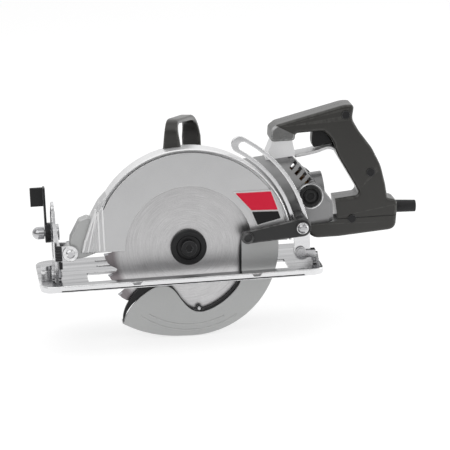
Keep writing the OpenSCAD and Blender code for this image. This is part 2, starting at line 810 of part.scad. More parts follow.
// Foot and the parts that tilt on it
module foot_outline() {
    difference() {
        union() {
            translate([foot_x0 + corner_r, -foot_near])
                square([foot_x1 - foot_x0 - 2 * corner_r, foot_near + foot_far]);
            translate([foot_x0, -foot_near + corner_r])
                square([foot_x1 - foot_x0, foot_near + foot_far - 2 * corner_r]);
            for (x = [foot_x0 + corner_r, foot_x1 - corner_r])
                for (y = [-foot_near + corner_r, foot_far - corner_r]) translate([x, y]) circle(r = corner_r);
        }
        translate([slot_x0, -slot_near]) square([slot_x1 - slot_x0, slot_near + slot_far]);
    }
}
module foot_plate() {
    color("gainsboro") difference() {
        union() {
            linear_extrude(foot_t) foot_outline();
            translate([foot_x0 + corner_r, -foot_near, 0])
                cube([foot_x1 - foot_x0 - 2 * corner_r, foot_t, edge_h]);
            translate([fence_at, fence_y, 0]) cylinder(r = fence_r, h = fence_boss_h);
        }
        for (s = notch_places_shares) translate([s * foot_x1, -foot_near - over, edge_h])
            rotate([0, half_turn / 4, 0]) translate([-notch_w / 2, 0, -notch_w / 2])
                cube([notch_w, foot_t + 2 * over, notch_w]);
        translate([fence_at, fence_y, fence_root]) cylinder(r = fence_stem_r + run_gap, h = fence_boss_h);
    }
}
module quadrant() {
    color("silver") x_slab(quad_front, quad_back) difference() {
        union() {
            translate([0, bevel_z]) {
                band(quadrant_r, quad_half, arc_from, arc_from + bevel_swing);
                circle(r = eye_r);
            }
            polygon([
                [-eye_r, foot_t], [lock_y + quad_half, foot_t], [lock_y + quad_half, lock_z],
                [lock_y - quad_half, lock_z - quad_half], [lock_y - 2 * quad_half, bevel_z + 2 * eye_r],
                [2 * quad_half, bevel_z + 2 * eye_r], [quad_half, bevel_z + quadrant_r],
                [-eye_r, bevel_z + quadrant_r]
            ]);
        }
        translate([0, bevel_z]) {
            band(quadrant_r, slot_half, arc_from, arc_from + bevel_swing);
            circle(r = bevel_pin_r + run_gap);
        }
    }
}
module rear_hinge() {
    color("silver") x_slab(hinge_x, hinge_x + hinge_t) difference() {
        union() {
            translate([0, bevel_z]) circle(r = 2 * bevel_pin_r);
            translate([-2 * eye_r, foot_t]) square([2 * 2 * eye_r, bevel_z - foot_t]);
        }
        translate([0, bevel_z]) circle(r = bevel_pin_r + run_gap);
    }
}
module fence_screw() {
    color("gainsboro") translate([fence_at, fence_y, 0]) {
        translate([0, 0, fence_root]) cylinder(r = fence_stem_r, h = fence_boss_h + fence_head_h - fence_root);
        translate([0, 0, fence_boss_h + pass_gap / 2]) cylinder(r = fence_r, h = fence_head_h);
    }
}
module bevel_bracket() {
    color("silver") difference() {
        union() {
            x_slab(bracket_x - sheet_t, bracket_x) {
                translate([0, bevel_z]) circle(r = eye_r);
                translate([lock_y, lock_z]) circle(r = quad_half);
                polygon([
                    [-eye_r, bevel_z], [-ear_in - ear_t, pivot_z - ear_r], [-ear_in - ear_t, pivot_z + ear_r],
                    [ear_in + ear_t, pivot_z + ear_r], [lock_y - quad_half / 2, lock_z + quad_half],
                    [lock_y + quad_half, lock_z], [lock_y, lock_z - quad_half], [eye_r, bevel_z]
                ]);
            }
            both_sides() y_slab(ear_in, ear_in + ear_t) {
                translate([-pivot_x, pivot_z]) circle(r = ear_r);
                translate([bracket_x - over, pivot_z - ear_r]) square([-pivot_x - bracket_x + over, 2 * ear_r]);
            }
        }
        translate([0, 0, bevel_z]) x_rod(bevel_pin_r, bracket_x - sheet_t - over, bracket_x + over);
        translate([0, lock_y, lock_z]) x_rod(bevel_bolt_r, bracket_x - sheet_t - over, bracket_x + over);
        translate([-pivot_x, 0, pivot_z]) y_rod(pivot_pin_r, -foot_near, foot_near);
    }
}
module depth_pivot_pin() {
    color("lightgray") translate([-pivot_x, 0, pivot_z]) {
        y_rod(pivot_pin_r, -ear_in - ear_t, ear_in + ear_t);
        y_rod(pin_head_r, -ear_in - ear_t - pin_head_t, -ear_in - ear_t);
        y_rod(pin_head_r, ear_in + ear_t, ear_in + ear_t + pin_head_t);
    }
}
module rear_bracket() {
    color("silver") difference() {
        union() {
            x_slab(rear_x, rear_x + sheet_t) {
                translate([0, bevel_z]) circle(r = eye_r);
                polygon([
                    [-eye_r, bevel_z], [rear_ear_near, pin_z - rear_ear_r], [rear_ear_near, pin_z + rear_top],
                    [rear_ear_far, pin_z + rear_top], [eye_r, bevel_z]
                ]);
            }
            for (y = [rear_ear_near, rear_ear_far - sheet_t]) y_slab(y, y + sheet_t) {
                translate([pin_x, pin_z]) circle(r = rear_ear_r);
                translate([pin_x, pin_z - rear_ear_r]) square([rear_x - pin_x + over, rear_ear_r + rear_top]);
            }
        }
        translate([0, 0, bevel_z]) x_rod(bevel_pin_r, rear_x - over, rear_x + sheet_t + over);
        translate([pin_x, 0, pin_z]) y_rod(link_pin_r, -foot_near, foot_near);
    }
}
module link_pin() {
    color("lightgray") translate([pin_x, 0, pin_z]) {
        y_rod(link_pin_r, rear_ear_near, rear_ear_far);
        y_rod(link_pin_head_r, rear_ear_near - sheet_t / 2, rear_ear_near);
    }
}
module bevel_pins() {
    color("gray") translate([0, 0, bevel_z]) {
        x_rod(bevel_pin_r, quad_front - over, bracket_x + over);
        x_rod(eye_r, quad_front - over - sheet_t, quad_front - over);
        x_rod(bevel_pin_r, rear_x - over, hinge_x + hinge_t);
    }
}
module bevel_bolt() {
    color("gainsboro") translate([0, lock_y, lock_z]) {
        x_rod(bevel_bolt_r, lever_front - over, bracket_x);
        x_rod(quad_half, bracket_x, bracket_x + sheet_t);
        translate([lever_front - over, 0, 0]) rotate([0, -90, 0]) rotate_extrude() intersection() {
            square([dome_r, dome_len]);
            translate([0, dome_len - dome_r]) union() {
                circle(r = dome_r);
                translate([0, -dome_len]) square([dome_r, dome_len]);
            }
        }
    }
}
module bevel_lever() {
    color([0.08, 0.08, 0.09]) translate([0, lock_y, lock_z]) difference() {
        union() {
            x_rod(lever_hub_r, lever_front, lever_back);
            translate([lever_front, -lever_hub_r / 2, 0]) cube([lever_t, lever_hub_r, lever_rise + tab_h]);
            translate([lever_front - tab_w, -lever_t / 2, lever_rise]) cube([tab_w + lever_t, lever_t, tab_h]);
        }
        x_rod(bevel_bolt_r + run_gap, lever_front - over, lever_back + over);
    }
}

// Depth link and its clamp
module depth_link() {
    color("silver") y_slab(link_near, link_far) difference() {
        translate(link_mid) band(link_r, link_half_w, link_pin_a, link_a1 + link_tail);
        translate(link_mid) band(link_r, link_slot_half_w, link_a0, link_a1);
        translate([pin_x, pin_z]) circle(r = link_pin_r + run_gap);
    }
}
module depth_bolt() {
    color("gainsboro") translate([clamp_x, 0, clamp_z]) {
        y_rod(clamp_r, clamp_lever_near - pass_gap, clamp_root);
        translate([0, clamp_lever_near - pass_gap / 2, 0]) rotate([90, 0, 0]) rotate_extrude() intersection() {
            square([clamp_head_r, clamp_head_t]);
            union() {
                circle(r = clamp_head_r);
                square([clamp_head_r, clamp_head_t / 2]);
            }
        }
    }
}
lever_angle = bearing([lever_tip_x - clamp_x, lever_tip_z - clamp_z]);
module depth_lever() {
    color([0.13, 0.13, 0.14]) translate([clamp_x, 0, clamp_z]) difference() {
        union() {
            y_rod(clamp_hub_r, clamp_lever_near, link_near - pass_gap);
            y_slab(clamp_lever_near, clamp_lever_far) rotate(lever_angle) {
                polygon([[0, over - clamp_hub_r], [clamp_lever_len, -clamp_lever_half],
                    [clamp_lever_len, clamp_lever_half], [0, clamp_hub_r - over]]);
                translate([clamp_lever_len, 0]) circle(r = clamp_lever_half);
            }
            y_slab(clamp_lever_near - clamp_lever_t, clamp_lever_far) rotate(lever_angle)
                translate([clamp_lever_len, 0]) circle(r = clamp_lever_half - over);
        }
        y_rod(clamp_r + run_gap, -foot_near, 0);
    }
}

// Handles
module handle_shape() {
    polygon(placed(handle_shares, handle_span, handle_x, handle_z));
}
module finger_bar() {
    color([0.27, 0.27, 0.28]) difference() {
        y_slab(motor_y - finger_w / 2, motor_y + finger_w / 2) difference() {
            polygon(placed(finger_bar_shares, handle_span, handle_x, handle_z));
            handle_shape();
        }
        at_motor() x_rod(motor_r, motor_front, motor_rear);
    }
}
module handle_cuts() {
    y_slab(motor_y - trigger_w / 2 - pass_gap, motor_y + trigger_w / 2 + pass_gap)
        polygon(placed(pocket_shares, handle_span, handle_x, handle_z));
    y_slab(motor_y - trigger_w / 2, motor_y + trigger_w / 2)
        polygon(placed(switch_shares, handle_span, handle_x, handle_z));
    at_motor() x_rod(motor_r, motor_front, motor_rear);
    at_boot() x_rod(boot_r, -boot_root, boot_len);
    for (s = placed(screw_shares, handle_span, handle_x, handle_z)) translate([s[0], 0, s[1]])
        y_rod(screw_r, handle_y0 - over, handle_y1 - screw_head_t);
}
module at_boot() {
    translate([handle_x + boot_x_share * handle_span, motor_y, handle_z + boot_z_share * handle_span])
        rotate([0, boot_tilt, 0]) children();
}
module rear_handle_near() {
    color([0.27, 0.27, 0.28]) difference() { y_slab(handle_y0, motor_y) handle_shape(); handle_cuts(); }
}
module rear_handle_far() {
    color([0.27, 0.27, 0.28]) difference() { y_slab(motor_y, handle_y1) handle_shape(); handle_cuts(); }
}
module handle_screws() {
    color("dimgray") for (s = placed(screw_shares, handle_span, handle_x, handle_z))
        translate([s[0], 0, s[1]]) {
        y_rod(screw_r, handle_y0, handle_y1 - screw_head_t);
        y_rod(screw_head_r, handle_y0 - screw_head_t / 2, handle_y0);
    }
}
module handle_post() {
    color("silver") difference() {
        y_slab(motor_y - post_w / 2, motor_y + post_w / 2)
            polygon(placed(post_shares, handle_span, handle_x, handle_z));
        at_motor() x_rod(motor_r, motor_front - over, motor_rear + over);
    }
}
module trigger() {
    color([0.05, 0.05, 0.06]) y_slab(motor_y - trigger_w / 2, motor_y + trigger_w / 2)
        polygon(placed(trigger_shares, handle_span, handle_x, handle_z));
}
module switch_body() {
    color([0.1, 0.1, 0.12]) y_slab(motor_y - trigger_w / 2, motor_y + trigger_w / 2) difference() {
        polygon(placed(switch_shares, handle_span, handle_x, handle_z));
        polygon(placed(pocket_shares, handle_span, handle_x, handle_z));
    }
}
module cord_boot() {
    color([0.04, 0.04, 0.04]) at_boot() difference() {
        union() {
            x_rod(boot_r, -boot_root, 0);
            rotate([0, 90, 0]) cylinder(r1 = boot_r, r2 = boot_end_r, h = boot_len);
        }
        x_rod(cord_r, -boot_root - over, boot_len + over);
    }
}
module front_handle() {
    color([0.25, 0.25, 0.26]) difference() {
        translate([loop_near_x, loop_near_y, 0]) rotate([0, 0, half_turn / 2 - loop_turn])
            y_slab(-loop_w / 2, loop_w / 2) polygon([
                [0, guard_z + guard_r - loop_t], [0, loop_top - loop_bend], [loop_bend, loop_top],
                [loop_len - loop_bend, loop_top - loop_drop], [loop_len, loop_top - loop_drop - loop_bend],
                [loop_len, axis_h], [loop_len - loop_t, axis_h],
                [loop_len - loop_t, loop_top - loop_drop - loop_bend],
                [loop_len - loop_bend - loop_t / 2, loop_top - loop_drop - loop_t],
                [loop_bend + loop_t / 2, loop_top - loop_t], [loop_t, loop_top - loop_bend],
                [loop_t, guard_z + guard_r - loop_t]
            ]);
        at_guard() y_rod(guard_r, -guard_w, guard_w);
        at_axle() y_rod(case_r, guard_w, case_back);
    }
}

gear_housing();
gear_cover();
oil_plug();
motor_housing();
motor_cap();
upper_guard();
badge_top();
badge_low();
front_handle();
handle_post();
rear_handle_near();
rear_handle_far();
finger_bar();
switch_body();
cord_boot();
field_core();
field_coils();
brush_tubes();
brush_caps();
carbon_brushes();
brush_springs();
spindle_bearings();
shaft_bearings();
guard_spring();
guard_ring();
guard_screws();
cover_screws();
handle_screws();
depth_bolt();
spindle();
worm_wheel();
inner_flange();
saw_blade();
outer_washer();
blade_bolt();
armature_shaft();
worm();
armature_core();
armature_windings();
commutator();
cooling_fan();
lower_guard();
bevel_bracket();
depth_pivot_pin();
rear_bracket();
link_pin();
bevel_pins();
bevel_bolt();
foot_plate();
quadrant();
rear_hinge();
fence_screw();
bevel_lever();
depth_lever();
depth_link();
trigger();
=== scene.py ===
import json
import math

import bmesh
import bpy
from mathutils import Matrix, Vector


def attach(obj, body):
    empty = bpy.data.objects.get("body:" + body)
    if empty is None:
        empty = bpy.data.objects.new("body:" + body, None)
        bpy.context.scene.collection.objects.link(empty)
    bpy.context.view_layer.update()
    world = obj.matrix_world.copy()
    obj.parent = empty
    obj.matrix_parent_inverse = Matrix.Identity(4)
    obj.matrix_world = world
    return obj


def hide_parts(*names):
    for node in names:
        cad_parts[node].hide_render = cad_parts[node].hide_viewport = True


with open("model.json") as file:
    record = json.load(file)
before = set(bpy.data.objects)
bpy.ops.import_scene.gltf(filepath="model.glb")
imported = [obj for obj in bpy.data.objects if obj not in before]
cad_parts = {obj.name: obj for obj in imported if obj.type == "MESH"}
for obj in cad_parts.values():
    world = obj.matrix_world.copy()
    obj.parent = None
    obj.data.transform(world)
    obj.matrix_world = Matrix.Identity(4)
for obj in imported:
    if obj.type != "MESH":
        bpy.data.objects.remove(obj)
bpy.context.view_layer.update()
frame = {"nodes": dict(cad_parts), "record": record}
scene = bpy.context.scene
nodes = frame["nodes"]
bodies = frame["record"]["behaviour"]["bodies"]
bodyOf = {node: body for body, members in bodies.items() for node in members}
mm = 0.001
axle = (0.0, 30.0)  # spindle axis, x and z in millimetres
guardMid = (0.0, 35.0)  # middle of the upper guard
print("frame loaded,", len(nodes), "nodes")

# camera at the photograph's angle, from the blade side and a little ahead
shot = dict(
    target=(38.7, -19.3, 55.5), side=6.0, rise=13.0, roll=2.6, away=3000.0, lens=224.0, sensor=36.0,
    reach=50.0)


def placeCamera():
    side, rise, roll = (math.radians(shot[k]) for k in ("side", "rise", "roll"))
    back = Vector((-math.sin(side) * math.cos(rise), -math.cos(side) * math.cos(rise), math.sin(rise)))
    right = Vector((math.cos(side), -math.sin(side), 0))
    up = back.cross(right)
    turnedRight = right * math.cos(roll) - up * math.sin(roll)
    turnedUp = up * math.cos(roll) + right * math.sin(roll)
    lens = bpy.data.cameras.new("shotCamera")
    lens.lens, lens.sensor_width, lens.clip_end = shot["lens"], shot["sensor"], shot["reach"]
    holder = bpy.data.objects.new("shotCamera", lens)
    holder.matrix_world = Matrix((turnedRight, turnedUp, back)).transposed().to_4x4()
    holder.matrix_world.translation = (Vector(shot["target"]) + back * shot["away"]) * mm
    scene.collection.objects.link(holder)
    scene.camera = holder


placeCamera()
scene.view_settings.view_transform = "Standard"
print("camera placed")


# shader helpers: an input is a plain value or another node's socket
def feed(tree, node, inputs):
    for socket, value in inputs.items():
        if isinstance(value, bpy.types.NodeSocket):
            tree.links.new(value, node.inputs[socket])
        else:
            node.inputs[socket].default_value = value


def addNode(tree, kind, inputs=None, **settings):
    node = tree.nodes.new("ShaderNode" + kind)
    for key, value in settings.items():
        setattr(node, key, value)
    feed(tree, node, inputs or {})
    return node


def placeOf(tree):
    return addNode(tree, "TexCoord").outputs["Object"]


def combine(tree, operation, first, second, kind="Math"):
    return addNode(tree, kind, {0: first, 1: second}, operation=operation).outputs[0]


def ranged(tree, source, span, target=(0.0, 1.0), ease="LINEAR"):
    # values within span carried over to target
    inputs = {0: source, 1: span[0], 2: span[1], 3: target[0], 4: target[1]}
    return addNode(tree, "MapRange", inputs, interpolation_type=ease).outputs[0]


def mixColour(tree, share, first, second, blend="MIX"):
    inputs = {0: share, 6: first, 7: second}
    return addNode(tree, "Mix", inputs, data_type="RGBA", blend_type=blend).outputs[2]


def noiseOf(tree, vector, scale, **more):
    return addNode(tree, "TexNoise", {"Vector": vector, "Scale": scale, **more}).outputs["Fac"]


def opaque(colour):
    # a single number is a grey
    return (*colour, 1.0) if isinstance(colour, tuple) else (colour, colour, colour, 1.0)


floatKind, colourKind, vectorKind = "NodeSocketFloat", "NodeSocketColor", "NodeSocketVector"
surfaceOutputs = [("Color", colourKind), ("Roughness", floatKind), ("Height", floatKind)]
surfaceInputs = [("Light", colourKind, opaque(0.6)), ("Dark", colourKind, opaque(0.5)),
                 ("Rough Low", floatKind, 0.3), ("Rough High", floatKind, 0.5)]


def newGroup(name, inputs, outputs):
    group = bpy.data.node_groups.new(name, "ShaderNodeTree")
    for label, kind, value in inputs:
        socket = group.interface.new_socket(label, in_out="INPUT", socket_type=kind)
        socket.default_value = value
    for label, kind in outputs:
        group.interface.new_socket(label, in_out="OUTPUT", socket_type=kind)
    return group, group.nodes.new("NodeGroupInput").outputs, group.nodes.new("NodeGroupOutput")


def endSurface(group, given, result, value, colourSpan, roughSpan, height):
    # one value between the two colours and the two roughnesses
    colour = mixColour(group, ranged(group, value, colourSpan), given["Dark"], given["Light"])
    rough = ranged(group, value, roughSpan, (given["Rough Low"], given["Rough High"]))
    feed(group, result, {"Color": colour, "Roughness": rough, "Height": height})
    return group


def makeGrainGroup():
    # mottled colour with fine pits, for castings, paint and moulded plastic
    scales = [("Fine", floatKind, 1100.0), ("Coarse", floatKind, 55.0)]
    group, given, result = newGroup("surfaceGrain", surfaceInputs + scales, surfaceOutputs)
    place = placeOf(group)
    fine = noiseOf(group, place, given["Fine"], Detail=3.0, Roughness=0.6)
    coarse = noiseOf(group, place, given["Coarse"], Detail=4.0, Roughness=0.55)
    both = addNode(group, "Mix", {0: 0.7, 2: coarse, 3: fine}, data_type="FLOAT").outputs[0]
    return endSurface(group, given, result, both, (0.32, 0.68), (0.3, 0.7), fine)


def makeBrushGroup():
    # long fine scratches along one direction, with cloudy bands
    scales = [("Stretch", vectorKind, (40.0, 1500.0, 1500.0)), ("Band", vectorKind, (9.0, 70.0, 70.0))]
    group, given, result = newGroup("brushedLines", surfaceInputs + scales, surfaceOutputs)
    place = placeOf(group)
    stretch, banded = (combine(group, "MULTIPLY", place, given[k], "VectorMath") for k in ("Stretch", "Band"))
    lines = noiseOf(group, stretch, 1.0, Detail=5.0, Roughness=0.6)
    cloud = noiseOf(group, banded, 1.0, Detail=3.0)
    both = addNode(group, "Mix", {0: 0.6, 2: lines, 3: cloud}, data_type="FLOAT").outputs[0]
    return endSurface(group, given, result, both, (0.34, 0.66), (0.34, 0.66), lines)


def makeWearGroup():
    # rubbed edges: the edge mark of the mesh, broken up by noise
    group, given, result = newGroup("edgeWear", [
        ("Color", colourKind, opaque(0.5)), ("Worn", colourKind, opaque(0.8)),
        ("Amount", floatKind, 0.5), ("Patch", floatKind, 160.0)], [("Color", colourKind)])
    mark = addNode(group, "Attribute", attribute_name="edge", attribute_type="GEOMETRY").outputs["Fac"]
    speckle = noiseOf(group, placeOf(group), given["Patch"], Detail=4.0, Roughness=0.65)
    rubbed = combine(group, "MULTIPLY", mark, ranged(group, speckle, (0.35, 0.62)))
    share = combine(group, "MULTIPLY", rubbed, given["Amount"])
    feed(group, result, {"Color": mixColour(group, share, given["Color"], given["Worn"])})
    return group


def makeRingGroup():
    # turning marks round the spindle axis
    inputs = [("Density", floatKind, 1400.0), ("Sweep", floatKind, 3.0)]
    group, given, result = newGroup("turnedRings", inputs, [("Value", floatKind), ("Radius", floatKind)])
    centred = combine(group, "SUBTRACT", placeOf(group), (0.0, 0.0, axle[1] * mm), "VectorMath")
    flat = combine(group, "MULTIPLY", centred, (1.0, 0.0, 1.0), "VectorMath")
    radius = addNode(group, "VectorMath", {0: flat}, operation="LENGTH").outputs["Value"]
    aim = addNode(group, "VectorMath", {0: flat}, operation="NORMALIZE").outputs[0]
    swept = addNode(group, "VectorMath", {0: aim, "Scale": given["Sweep"]}, operation="SCALE").outputs[0]
    dense = combine(group, "MULTIPLY", radius, given["Density"])
    lifted = addNode(group, "CombineXYZ", {1: dense}).outputs[0]
    spot = combine(group, "ADD", swept, lifted, "VectorMath")
    feed(group, result, {"Value": noiseOf(group, spot, 1.0, Detail=4.0, Roughness=0.6), "Radius": radius})
    return group


grainGroup = makeGrainGroup()
wearGroup = makeWearGroup()
brushGroup = makeBrushGroup()
ringGroup = makeRingGroup()


def startMaterial(name, **principled):
    material = bpy.data.materials.new(name)
    material.use_nodes = True
    shader = material.node_tree.nodes["Principled BSDF"]
    feed(material.node_tree, shader, {label.replace("_", " "): value for label, value in principled.items()})
    return material, material.node_tree, shader


def useGroup(tree, group, inputs):
    return addNode(tree, "Group", inputs, node_tree=group).outputs


def bumped(tree, height, strength, distance):
    inputs = {"Strength": strength, "Distance": distance, "Height": height}
    return addNode(tree, "Bump", inputs).outputs["Normal"]


def surfaceOf(tree, group, light, dark, rough, **scales):
    inputs = {"Light": opaque(light), "Dark": opaque(dark), "Rough Low": rough[0], "Rough High": rough[1]}
    return useGroup(tree, group, {**inputs, **scales})


def endMaterial(made, surface, worn, wear, bump, deep):
    # wear goes over the surface's colour, and its height feeds the bump
    material, tree, shader = made
    inputs = {"Color": surface["Color"], "Worn": opaque(worn), "Amount": wear}
    colour = useGroup(tree, wearGroup, inputs)["Color"]
    feed(tree, shader, {"Base Color": colour, "Roughness": surface["Roughness"],
                        "Normal": bumped(tree, surface["Height"], bump, deep)})
    return material


def grainMaterial(name, light, dark, rough, fine=1100.0, coarse=55.0, metal=0.0, bump=0.12, deep=0.00012,
                  worn=None, wear=0.0, **principled):
    made = startMaterial(name, Metallic=metal, **principled)
    surface = surfaceOf(made[1], grainGroup, light, dark, rough, Fine=fine, Coarse=coarse)
    return endMaterial(made, surface, worn or light, wear, bump, deep)


def brushMaterial(name, light, dark, rough, stretch, bump=0.12, deep=0.00005, worn=None, wear=0.0,
                  band=(9.0, 70.0, 70.0)):
    made = startMaterial(name, Metallic=1.0)
    surface = surfaceOf(made[1], brushGroup, light, dark, rough, Stretch=stretch, Band=band)
    return endMaterial(made, surface, worn or light, wear, bump, deep)


# blade steel: turning marks on ground metal, and a darker plum band along the teeth as painted dark
# reflection
bladeLook = dict(
    light=(0.66, 0.655, 0.66), dark=(0.50, 0.495, 0.50), rough=(0.26, 0.42), fine=1700.0, coarse=34.0,
    density=1500.0, sweep=2.2, marks=(0.84, 1.12), band=(0.074, 0.083), paintedReflectionTint=(0.42, 0.385, 0.395),
    bump=0.12, deep=0.00006)


def bladeMaterial(name):
    b = bladeLook
    material, tree, shader = startMaterial(name, Metallic=1.0)
    rings = useGroup(tree, ringGroup, {"Density": b["density"], "Sweep": b["sweep"]})
    grain = surfaceOf(tree, grainGroup, b["light"], b["dark"], b["rough"], Fine=b["fine"], Coarse=b["coarse"])
    shade = ranged(tree, rings["Value"], (0.3, 0.7), b["marks"])
    scaled = addNode(tree, "VectorMath", {0: grain["Color"], "Scale": shade}, operation="SCALE").outputs[0]
    # painted reflection: the outer band along the teeth is tinted dark plum
    reflectionShare = ranged(tree, rings["Radius"], b["band"], ease="SMOOTHSTEP")
    feed(tree, shader, {"Base Color": mixColour(tree, reflectionShare, scaled, opaque(b["paintedReflectionTint"]), "MULTIPLY"),
                        "Roughness": grain["Roughness"],
                        "Normal": bumped(tree, rings["Value"], b["bump"], b["deep"])})
    return material


alongX = (30.0, 1400.0, 1400.0)  # scratches that run along x
castAlloy = grainMaterial(
    "castAlloy", (0.64, 0.64, 0.645), (0.58, 0.58, 0.585), (0.36, 0.46), fine=1300, metal=0.82, worn=0.85,
    wear=0.6)
# darker copy of the cast alloy for the lower guard; on the upper guard's gusset, part of the same casting, it
# is painted shade
lowerCastAndShade = grainMaterial(
    "lowerCastAndShade", (0.51, 0.515, 0.51), (0.46, 0.465, 0.465), (0.4, 0.5), fine=1300, metal=0.75, worn=0.7,
    wear=0.5)
# the motor's grey alloy made darker as painted shade; it is painted shade on the gear housing too
motorAlloyAndShade = grainMaterial(
    "motorAlloyAndShade", 0.28, (0.24, 0.24, 0.245), (0.32, 0.42), fine=1000, metal=0.8, worn=0.7, wear=0.6)
# paler copy of the cast alloy: the handle post's own silver, and painted highlight on the upper guard's rim
# and ribs
paleAlloyAndHighlight = grainMaterial(
    "paleAlloyAndHighlight", (0.88, 0.88, 0.885), (0.81, 0.81, 0.815), (0.3, 0.4), fine=1300, metal=0.6, worn=0.9,
    wear=0.6)
capAlloy = grainMaterial(
    "capAlloy", (0.23, 0.23, 0.225), 0.13, (0.38, 0.55), fine=900, coarse=190, metal=0.5, bump=0.3,
    worn=0.6, wear=0.7)
brightSteel = brushMaterial(
    "brightSteel", (0.74, 0.74, 0.75), (0.36, 0.36, 0.37), (0.12, 0.26), alongX, worn=0.92, wear=0.7)
satinSteel = brushMaterial(
    "satinSteel", (0.6, 0.6, 0.61), (0.42, 0.42, 0.43), (0.2, 0.36), (900.0, 900.0, 900.0), worn=0.85,
    wear=0.6, band=(60.0, 60.0, 60.0))
footSteel = brushMaterial(
    "footSteel", (0.66, 0.66, 0.67), (0.26, 0.26, 0.27), (0.12, 0.28), alongX, worn=0.9, wear=0.8,
    band=(5.0, 120.0, 60.0))
# paler copy of the foot's steel: painted highlight on the foot's turned-up edge and on the depth link
highlightSteel = brushMaterial(
    "highlightSteel", (0.8, 0.8, 0.81), (0.66, 0.66, 0.67), (0.16, 0.28), alongX, worn=0.92, wear=0.8,
    band=(6.0, 60.0, 160.0))
bladeSteel = bladeMaterial("bladeSteel")
blackPaint = grainMaterial(
    "blackPaint", (0.016, 0.016, 0.017), (0.011, 0.011, 0.012), (0.3, 0.42), fine=1500, coarse=90, bump=0.1,
    worn=(0.16, 0.16, 0.165), wear=0.7, Specular_IOR_Level=0.3)
darkCast = grainMaterial(
    "darkCast", 0.03, (0.023, 0.023, 0.024), (0.3, 0.4), fine=1000, coarse=70, metal=0.1, bump=0.1,
    worn=0.16, wear=0.8, Specular_IOR_Level=0.4)
gripPlastic = grainMaterial(
    "gripPlastic", (0.03, 0.0285, 0.025), (0.024, 0.023, 0.0205), (0.3, 0.38), fine=1900, coarse=40,
    bump=0.1, deep=0.0001, worn=(0.09, 0.088, 0.082), wear=0.5, Specular_IOR_Level=0.3, Coat_Weight=0.45,
    Coat_Roughness=0.22)
blackPlastic = grainMaterial(
    "blackPlastic", (0.012, 0.012, 0.0125), (0.008, 0.008, 0.0085), (0.34, 0.44), fine=1700, coarse=60,
    bump=0.1, worn=0.04, wear=0.6, Specular_IOR_Level=0.25)
bootRubber = grainMaterial(
    "bootRubber", (0.026, 0.026, 0.027), (0.013, 0.013, 0.014), (0.5, 0.7), fine=1400, coarse=70, bump=0.2,
    worn=0.05, wear=0.5, Specular_IOR_Level=0.3)
redEnamel = grainMaterial(
    "redEnamel", (0.74, 0.014, 0.05), (0.69, 0.011, 0.043), (0.2, 0.26), fine=1500, coarse=45, bump=0.02,
    worn=(0.8, 0.3, 0.33), wear=0.5, Specular_IOR_Level=0.2)
blackEnamel = grainMaterial(
    "blackEnamel", (0.009, 0.009, 0.01), (0.006, 0.006, 0.007), (0.18, 0.3), fine=1500, coarse=45,
    bump=0.02, worn=0.3, wear=0.5, Specular_IOR_Level=0.2)
paleEnamel = grainMaterial("paleEnamel", 0.72, 0.66, (0.25, 0.35), fine=1500, coarse=45, bump=0.06)
gearBronze = grainMaterial(
    "gearBronze", (0.68, 0.44, 0.18), (0.52, 0.32, 0.12), (0.25, 0.4), metal=1.0, bump=0.15)
coilCopper = brushMaterial(
    "coilCopper", (0.7, 0.33, 0.14), (0.42, 0.17, 0.07), (0.25, 0.45), (1600.0, 60.0, 60.0), bump=0.5)
coreIron = brushMaterial(
    "coreIron", (0.34, 0.34, 0.36), (0.22, 0.22, 0.24), (0.3, 0.5), (1800.0, 40.0, 40.0), bump=0.4)
tipCarbide = grainMaterial(
    "tipCarbide", (0.5, 0.5, 0.52), (0.38, 0.38, 0.4), (0.2, 0.32), fine=2200, metal=1.0, bump=0.15)
print("materials made")


# mesh helpers, all lengths in millimetres
def opened(mesh):
    bm = bmesh.new()
    bm.from_mesh(mesh)
    return bm


def closed(bm, mesh):
    bm.to_mesh(mesh)
    bm.free()
    return mesh


def meshOf(name, bm):
    return closed(bm, bpy.data.meshes.new(name))


def outward(bm, weld=0.0):
    if weld:
        bmesh.ops.remove_doubles(bm, verts=bm.verts, dist=weld)
    bmesh.ops.recalc_face_normals(bm, faces=bm.faces)


def paint(mesh, material):
    mesh.materials.clear()
    mesh.materials.append(material)


def finishPiece(name, mesh, material, smooth=30.0, weighted=True):
    for face in mesh.polygons:
        face.use_smooth = True
    mesh.set_sharp_from_angle(angle=math.radians(smooth))
    paint(mesh, material)
    piece = bpy.data.objects.new(name, mesh)
    scene.collection.objects.link(piece)
    if weighted:
        even = piece.modifiers.new("evenNormals", "WEIGHTED_NORMAL")
        even.keep_sharp = True
    return piece


def slimness(face):
    return face.calc_area() / max(e.calc_length() for e in face.edges)


def bends(edge, degrees):
    return len(edge.link_faces) == 2 and edge.calc_face_angle(0.0) > math.radians(degrees)


def markFace(face, layer):
    for corner in face.loops:
        corner[layer] = 1.0


def markEdges(mesh, sharp=8.0, wide=0.0012):
    # the edge mark goes on narrow faces that turn away from their neighbours
    bm = opened(mesh)
    layer = bm.loops.layers.float.new("edge")
    for face in bm.faces:
        if sum(bends(e, sharp) for e in face.edges) >= 2 and slimness(face) < wide:
            markFace(face, layer)
    return closed(bm, mesh)


easing = dict(weld=2e-6, flat=0.3, sharp=35.0, segments=2, profile=0.5, slim=1.5)


